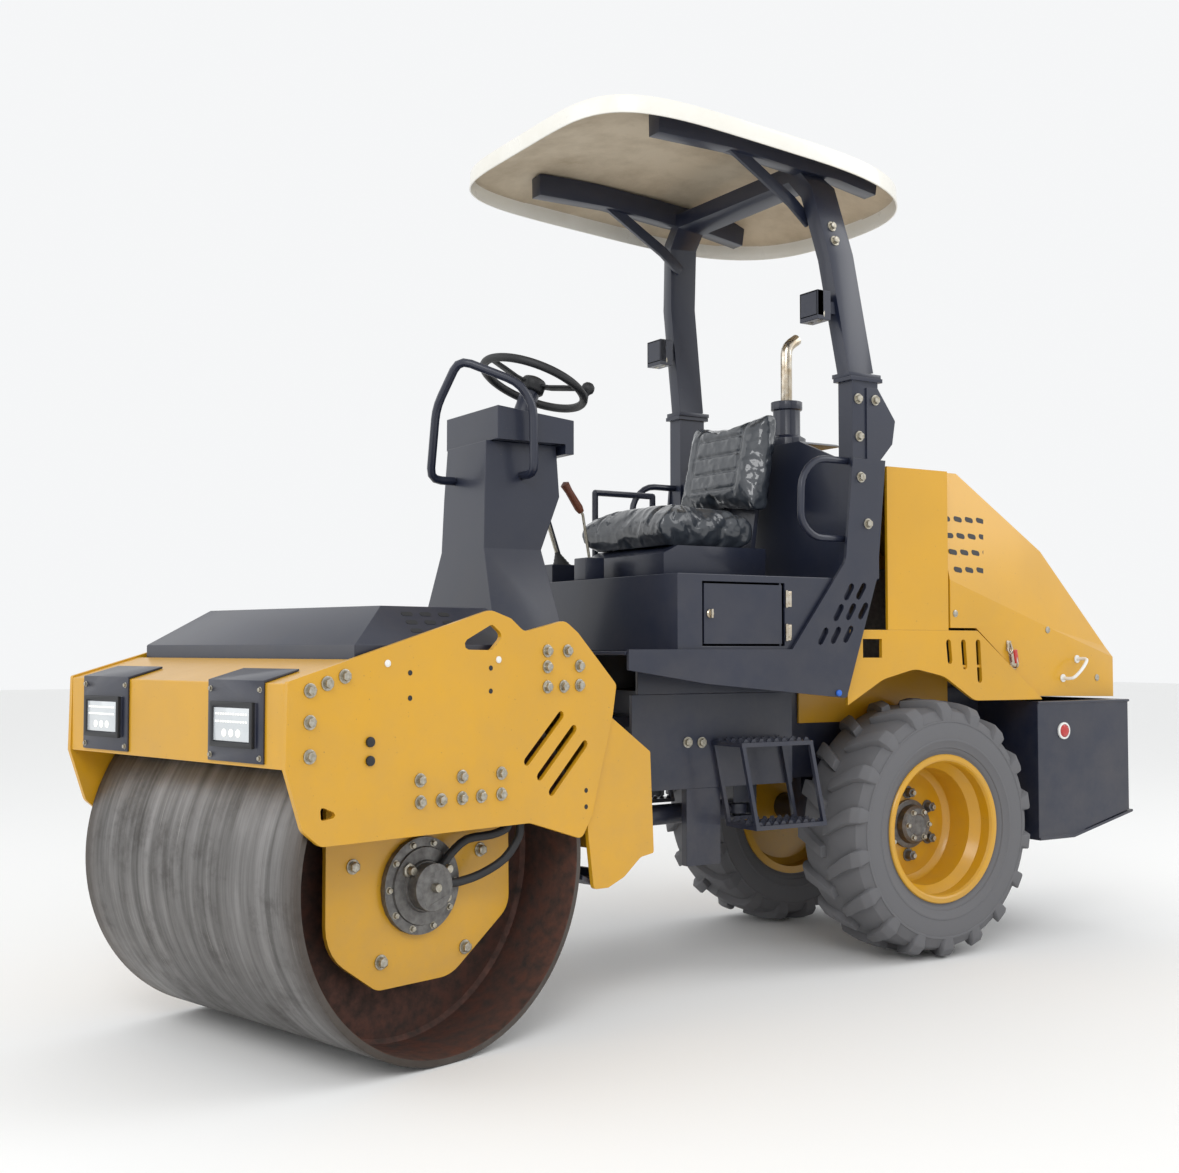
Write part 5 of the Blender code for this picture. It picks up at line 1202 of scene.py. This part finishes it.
class ROLLER_OT_work_lamps(bpy.types.Operator):
    """The lamps on the posts: finned housings with a bezel, lens and bright cradle"""

    bl_idname = "roller.work_lamps"
    bl_label = "Work lamps"

    def execute(self, context):
        for side in SIDES:
            node = "work_lamp_" + side
            low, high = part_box(node)
            middle = (low + high) / 2
            shell = box((high.x - 0.024, low.y, low.z + 0.010), (high.x, high.y, high.z))
            pick(shell, lambda face: face.normal.x > 0.9)
            bpy.ops.mesh.inset(thickness=0.007, depth=0.0)
            bpy.ops.mesh.inset(thickness=0.001, depth=-0.004)
            shell = soften(done(), 0.003, 3)
            # Six cooling fins, 5 mm thick.
            starts = [low.y + 0.006 + i * 0.0115 for i in range(6)]
            fins = [box((low.x, y, low.z + 0.016), (high.x - 0.022, y + 0.005, high.z - 0.008)) for y in starts]
            housing = painted(join([shell, *fins]), "black_polypropylene")
            piece(housing, "lamp_housing_" + side, "rear_frame", [node])
            near = (high.x - 0.0045, low.y + 0.009, low.z + 0.019)
            lens = box(near, (high.x - 0.002, high.y - 0.009, high.z - 0.009))
            chips = []
            for y in (-0.018, 0.0, 0.018):
                for z in (-0.014, 0.008):
                    corner = Vector((high.x - 0.0021, middle.y + y - 0.006, middle.z + z - 0.001))
                    chips.append(box(corner, corner + Vector((0.0009, 0.012, 0.012))))
            glass = join([painted(lens, "clear_polycarbonate"), painted(join(chips), "led_chip")])
            piece(glass, "lamp_lens_" + side, "rear_frame")
            route = [
                (middle.x, low.y + 0.004, middle.z - 0.006), (middle.x, low.y + 0.006, low.z + 0.004),
                (middle.x, middle.y, low.z + 0.003), (middle.x, high.y - 0.006, low.z + 0.004),
                (middle.x, high.y - 0.004, middle.z - 0.006),
            ]
            cradle = painted(pipe(route, 0.003), "zinc_plated_steel")
            piece(cradle, "lamp_cradle_" + side, "rear_frame")
        return {"FINISHED"}


class ROLLER_OT_steps(bpy.types.Operator):
    """The saw-tooth strips along the steps' treads"""

    bl_idname = "roller.steps"
    bl_label = "Step teeth"

    def execute(self, context):
        tooth = cut_out([(-0.010, 0.0), (0.010, 0.0), (0.004, 0.009), (-0.004, 0.009)], -0.0015, 0.0015)
        for side, sign in SIDES.items():
            twin = copy_of(tooth)
            places = []
            for x, z in ((0.512, 0.6671), (0.462, 0.4361)):
                for y in (0.318, 0.376, 0.434):
                    places += [REAR @ Matrix.Translation((x + 0.027 * i, sign * y, z)) for i in range(9)]
            teeth = painted(repeated(twin, places), "blue_black_enamel")
            piece(teeth, "step_teeth_" + side, "rear_frame")
        bpy.data.objects.remove(tooth)
        return {"FINISHED"}


class ROLLER_OT_levers(bpy.types.Operator):
    """The travel lever's grip and gaiter, the brake lever by the column and the small controls"""

    bl_idname = "roller.levers"
    bl_label = "Levers"

    def execute(self, context):
        low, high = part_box("travel_lever")
        top = Vector((high.x - 0.012, (low.y + high.y) / 2, high.z - 0.006))
        lean = Vector((0.35, 0, 1)).normalized()
        foot = top - lean * 0.285
        grip = smooth(lathe([
            (0.0, 0.0), (0.010, 0.0), (0.015, 0.012), (0.0135, 0.050), (0.017, 0.090), (0.0165, 0.106),
            (0.010, 0.116), (0.0, 0.118),
        ], 32), 60)
        rings = []
        for i in range(5):
            rings += [(0.032 - i * 0.005, 0.010 * i), (0.027 - i * 0.0045, 0.010 * i + 0.005)]
        gaiter = smooth(lathe([(0.0, 0.0), *rings, (0.0075, 0.052), (0.0, 0.052)], 32), 60)
        settle(grip, aimed(top - lean * 0.120, lean))
        settle(gaiter, aimed(foot - lean * 0.002, lean))
        rod = pipe([foot, top - lean * 0.110], 0.007, 3, False)
        control = join([
            painted(grip, "black_polypropylene"), painted(gaiter, "moulded_rubber"), painted(rod, "zinc_plated_steel"),
        ])
        piece(control, "travel_grip", "rear_frame")
        bends = ((0.917, -0.080, 1.1975), (0.940, -0.080, 1.328), (1.004, -0.080, 1.417))
        start, knee, end = (REAR @ Vector(bend) for bend in bends)
        stalk = painted(pipe([start, knee, knee + (end - knee) * 0.3], 0.0045, 3, False), "zinc_plated_steel")
        profile = [(0.0, 0.0), (0.009, 0.0), (0.013, 0.015), (0.0115, 0.075), (0.014, 0.100), (0.0, 0.108)]
        handle = smooth(lathe(profile, 28), 60)
        settle(handle, aimed(knee + (end - knee) * 0.08, end - knee))
        box_low, box_high = REAR @ Vector((0.885, -0.115, 1.1302)), REAR @ Vector((0.950, -0.045, 1.198))
        pod = painted(soften(box(box_low, box_high), 0.004, 3), "blue_black_enamel")
        brake = join([stalk, painted(handle, "brown_polypropylene"), pod])
        piece(brake, "brake_lever", "rear_frame")
        return {"FINISHED"}


class ROLLER_OT_console(bpy.types.Operator):
    """The dials and key switch on the dash"""

    bl_idname = "roller.console"
    bl_label = "Console"

    def execute(self, context):
        pieces = []
        for y in (-0.075, 0.075):
            hit, normal = touch("dash_box", (0.60, y, 1.545), (1, 0, 0))
            profile = [(0.0, 0.0), (0.031, 0.0), (0.031, 0.004), (0.027, 0.007), (0.025, 0.004), (0.0, 0.004)]
            rim = smooth(lathe(profile, 40))
            pieces.append(settle(painted(rim, "sanded_stainless_steel"), aimed(hit, normal)))
            face = disc(0.0245, 0.0038, 0.0046, 40)
            pieces.append(settle(painted(face, "black_polypropylene"), aimed(hit, normal)))
            for turn in range(-120, 121, 30):
                tick = box((0.017, -0.0006, 0.0046), (0.022, 0.0006, 0.0050))
                pieces.append(settle(painted(tick, "white_nylon"), aimed(hit, normal, math.radians(turn))))
            needle = box((-0.003, -0.0008, 0.0050), (0.018, 0.0008, 0.0058))
            pieces.append(settle(painted(needle, "red_acrylic"), aimed(hit, normal, 2.4)))
        hit, normal = touch("dash_box", (0.60, 0.0, 1.545), (1, 0, 0))
        key = smooth(lathe([(0.0, 0.0), (0.013, 0.0), (0.013, 0.006), (0.008, 0.008), (0.0, 0.008)], 28))
        blade = soften(box((-0.009, -0.002, 0.008), (0.009, 0.002, 0.030)), 0.0008)
        pieces.append(settle(painted(join([key, blade]), "sanded_stainless_steel"), aimed(hit, normal)))
        piece(join(pieces), "dash_dials", "rear_frame")
        return {"FINISHED"}


class ROLLER_OT_stage(bpy.types.Operator):
    """The pale floor, the soft lights and the camera"""

    bl_idname = "roller.stage"
    bl_label = "Stage"

    def execute(self, context):
        deselect()
        bpy.ops.mesh.primitive_plane_add(size=60, location=(0, 0, -0.0005))
        floor = settle(bpy.context.active_object)
        floor.name = "floor"
        shader_of("matt_pale_floor", Base_Color=linear("F2F2F1"), Roughness=0.9)
        floor.data.materials.append(bpy.data.materials["matt_pale_floor"])
        world = context.scene.world or bpy.data.worlds.new("studio")
        context.scene.world = world
        world.use_nodes = True
        backdrop = world.node_tree.nodes["Background"]
        backdrop.inputs["Color"].default_value = linear("FBFCFD")
        backdrop.inputs["Strength"].default_value = 0.95
        context.scene.view_settings.view_transform = "Standard"
        lights = [
            ("key", (4.5, 5.5, 5.0), 160.0, 3.0),
            ("fill", (5.5, -2.0, 3.2), 45.0, 4.0),
            ("back", (-5.0, 3.0, 4.5), 75.0, 3.5),
        ]
        for name, spot, power, wide in lights:
            lamp = bpy.data.lights.new(name, "AREA")
            lamp.energy = power
            lamp.size = wide
            item = bpy.data.objects.new(name, lamp)
            item.location = spot
            item.rotation_euler = (Vector((0, 0, 0.9)) - Vector(spot)).to_track_quat("-Z", "Y").to_euler()
            context.scene.collection.objects.link(item)
        camera = bpy.data.objects.new("camera", bpy.data.cameras.new("camera"))
        context.scene.collection.objects.link(camera)
        yaw, pitch = math.radians(-121.90), math.radians(2.393)
        ahead = Vector((math.cos(yaw) * math.cos(pitch), math.sin(yaw) * math.cos(pitch), math.sin(pitch)))
        camera.location = (2.452862, 3.465054, 0.931)
        camera.rotation_euler = ahead.to_track_quat("-Z", "Y").to_euler()
        camera.data.lens = 44.30
        camera.data.sensor_width = 36.0
        context.scene.camera = camera
        return {"FINISHED"}


OPERATORS = (
    ROLLER_OT_finishes, ROLLER_OT_sheet_metal, ROLLER_OT_drum, ROLLER_OT_tyres, ROLLER_OT_rims,
    ROLLER_OT_plate_bolts, ROLLER_OT_motors, ROLLER_OT_headlamps, ROLLER_OT_roof, ROLLER_OT_seat,
    ROLLER_OT_steering, ROLLER_OT_vents, ROLLER_OT_hood_fittings, ROLLER_OT_frame_bolts, ROLLER_OT_doors,
    ROLLER_OT_work_lamps, ROLLER_OT_steps, ROLLER_OT_levers, ROLLER_OT_console, ROLLER_OT_stage,
)


class ROLLER_PT_pieces(bpy.types.Panel):
    """Lists the roller's pieces in the sidebar"""

    bl_idname = "ROLLER_PT_pieces"
    bl_label = "Road roller"
    bl_space_type = "VIEW_3D"
    bl_region_type = "UI"
    bl_category = "Roller"

    def draw(self, context):
        for operator in OPERATORS:
            self.layout.operator(operator.bl_idname)
        for group in (context.scene.roller_colours, context.scene.roller_sizes):
            for name in group.__annotations__:
                self.layout.prop(group, name)


CLASSES = (RollerColours, RollerSizes, *OPERATORS, ROLLER_PT_pieces)


def register():
    for item in CLASSES:
        bpy.utils.register_class(item)
    bpy.types.Scene.roller_colours = bpy.props.PointerProperty(type=RollerColours)
    bpy.types.Scene.roller_sizes = bpy.props.PointerProperty(type=RollerSizes)


def unregister():
    del bpy.types.Scene.roller_sizes
    del bpy.types.Scene.roller_colours
    for item in reversed(CLASSES):
        bpy.utils.unregister_class(item)


def main():
    register()
    for operator in OPERATORS:
        family, name = operator.bl_idname.split(".")
        getattr(getattr(bpy.ops, family), name)()


if __name__ == "__main__":
    main()
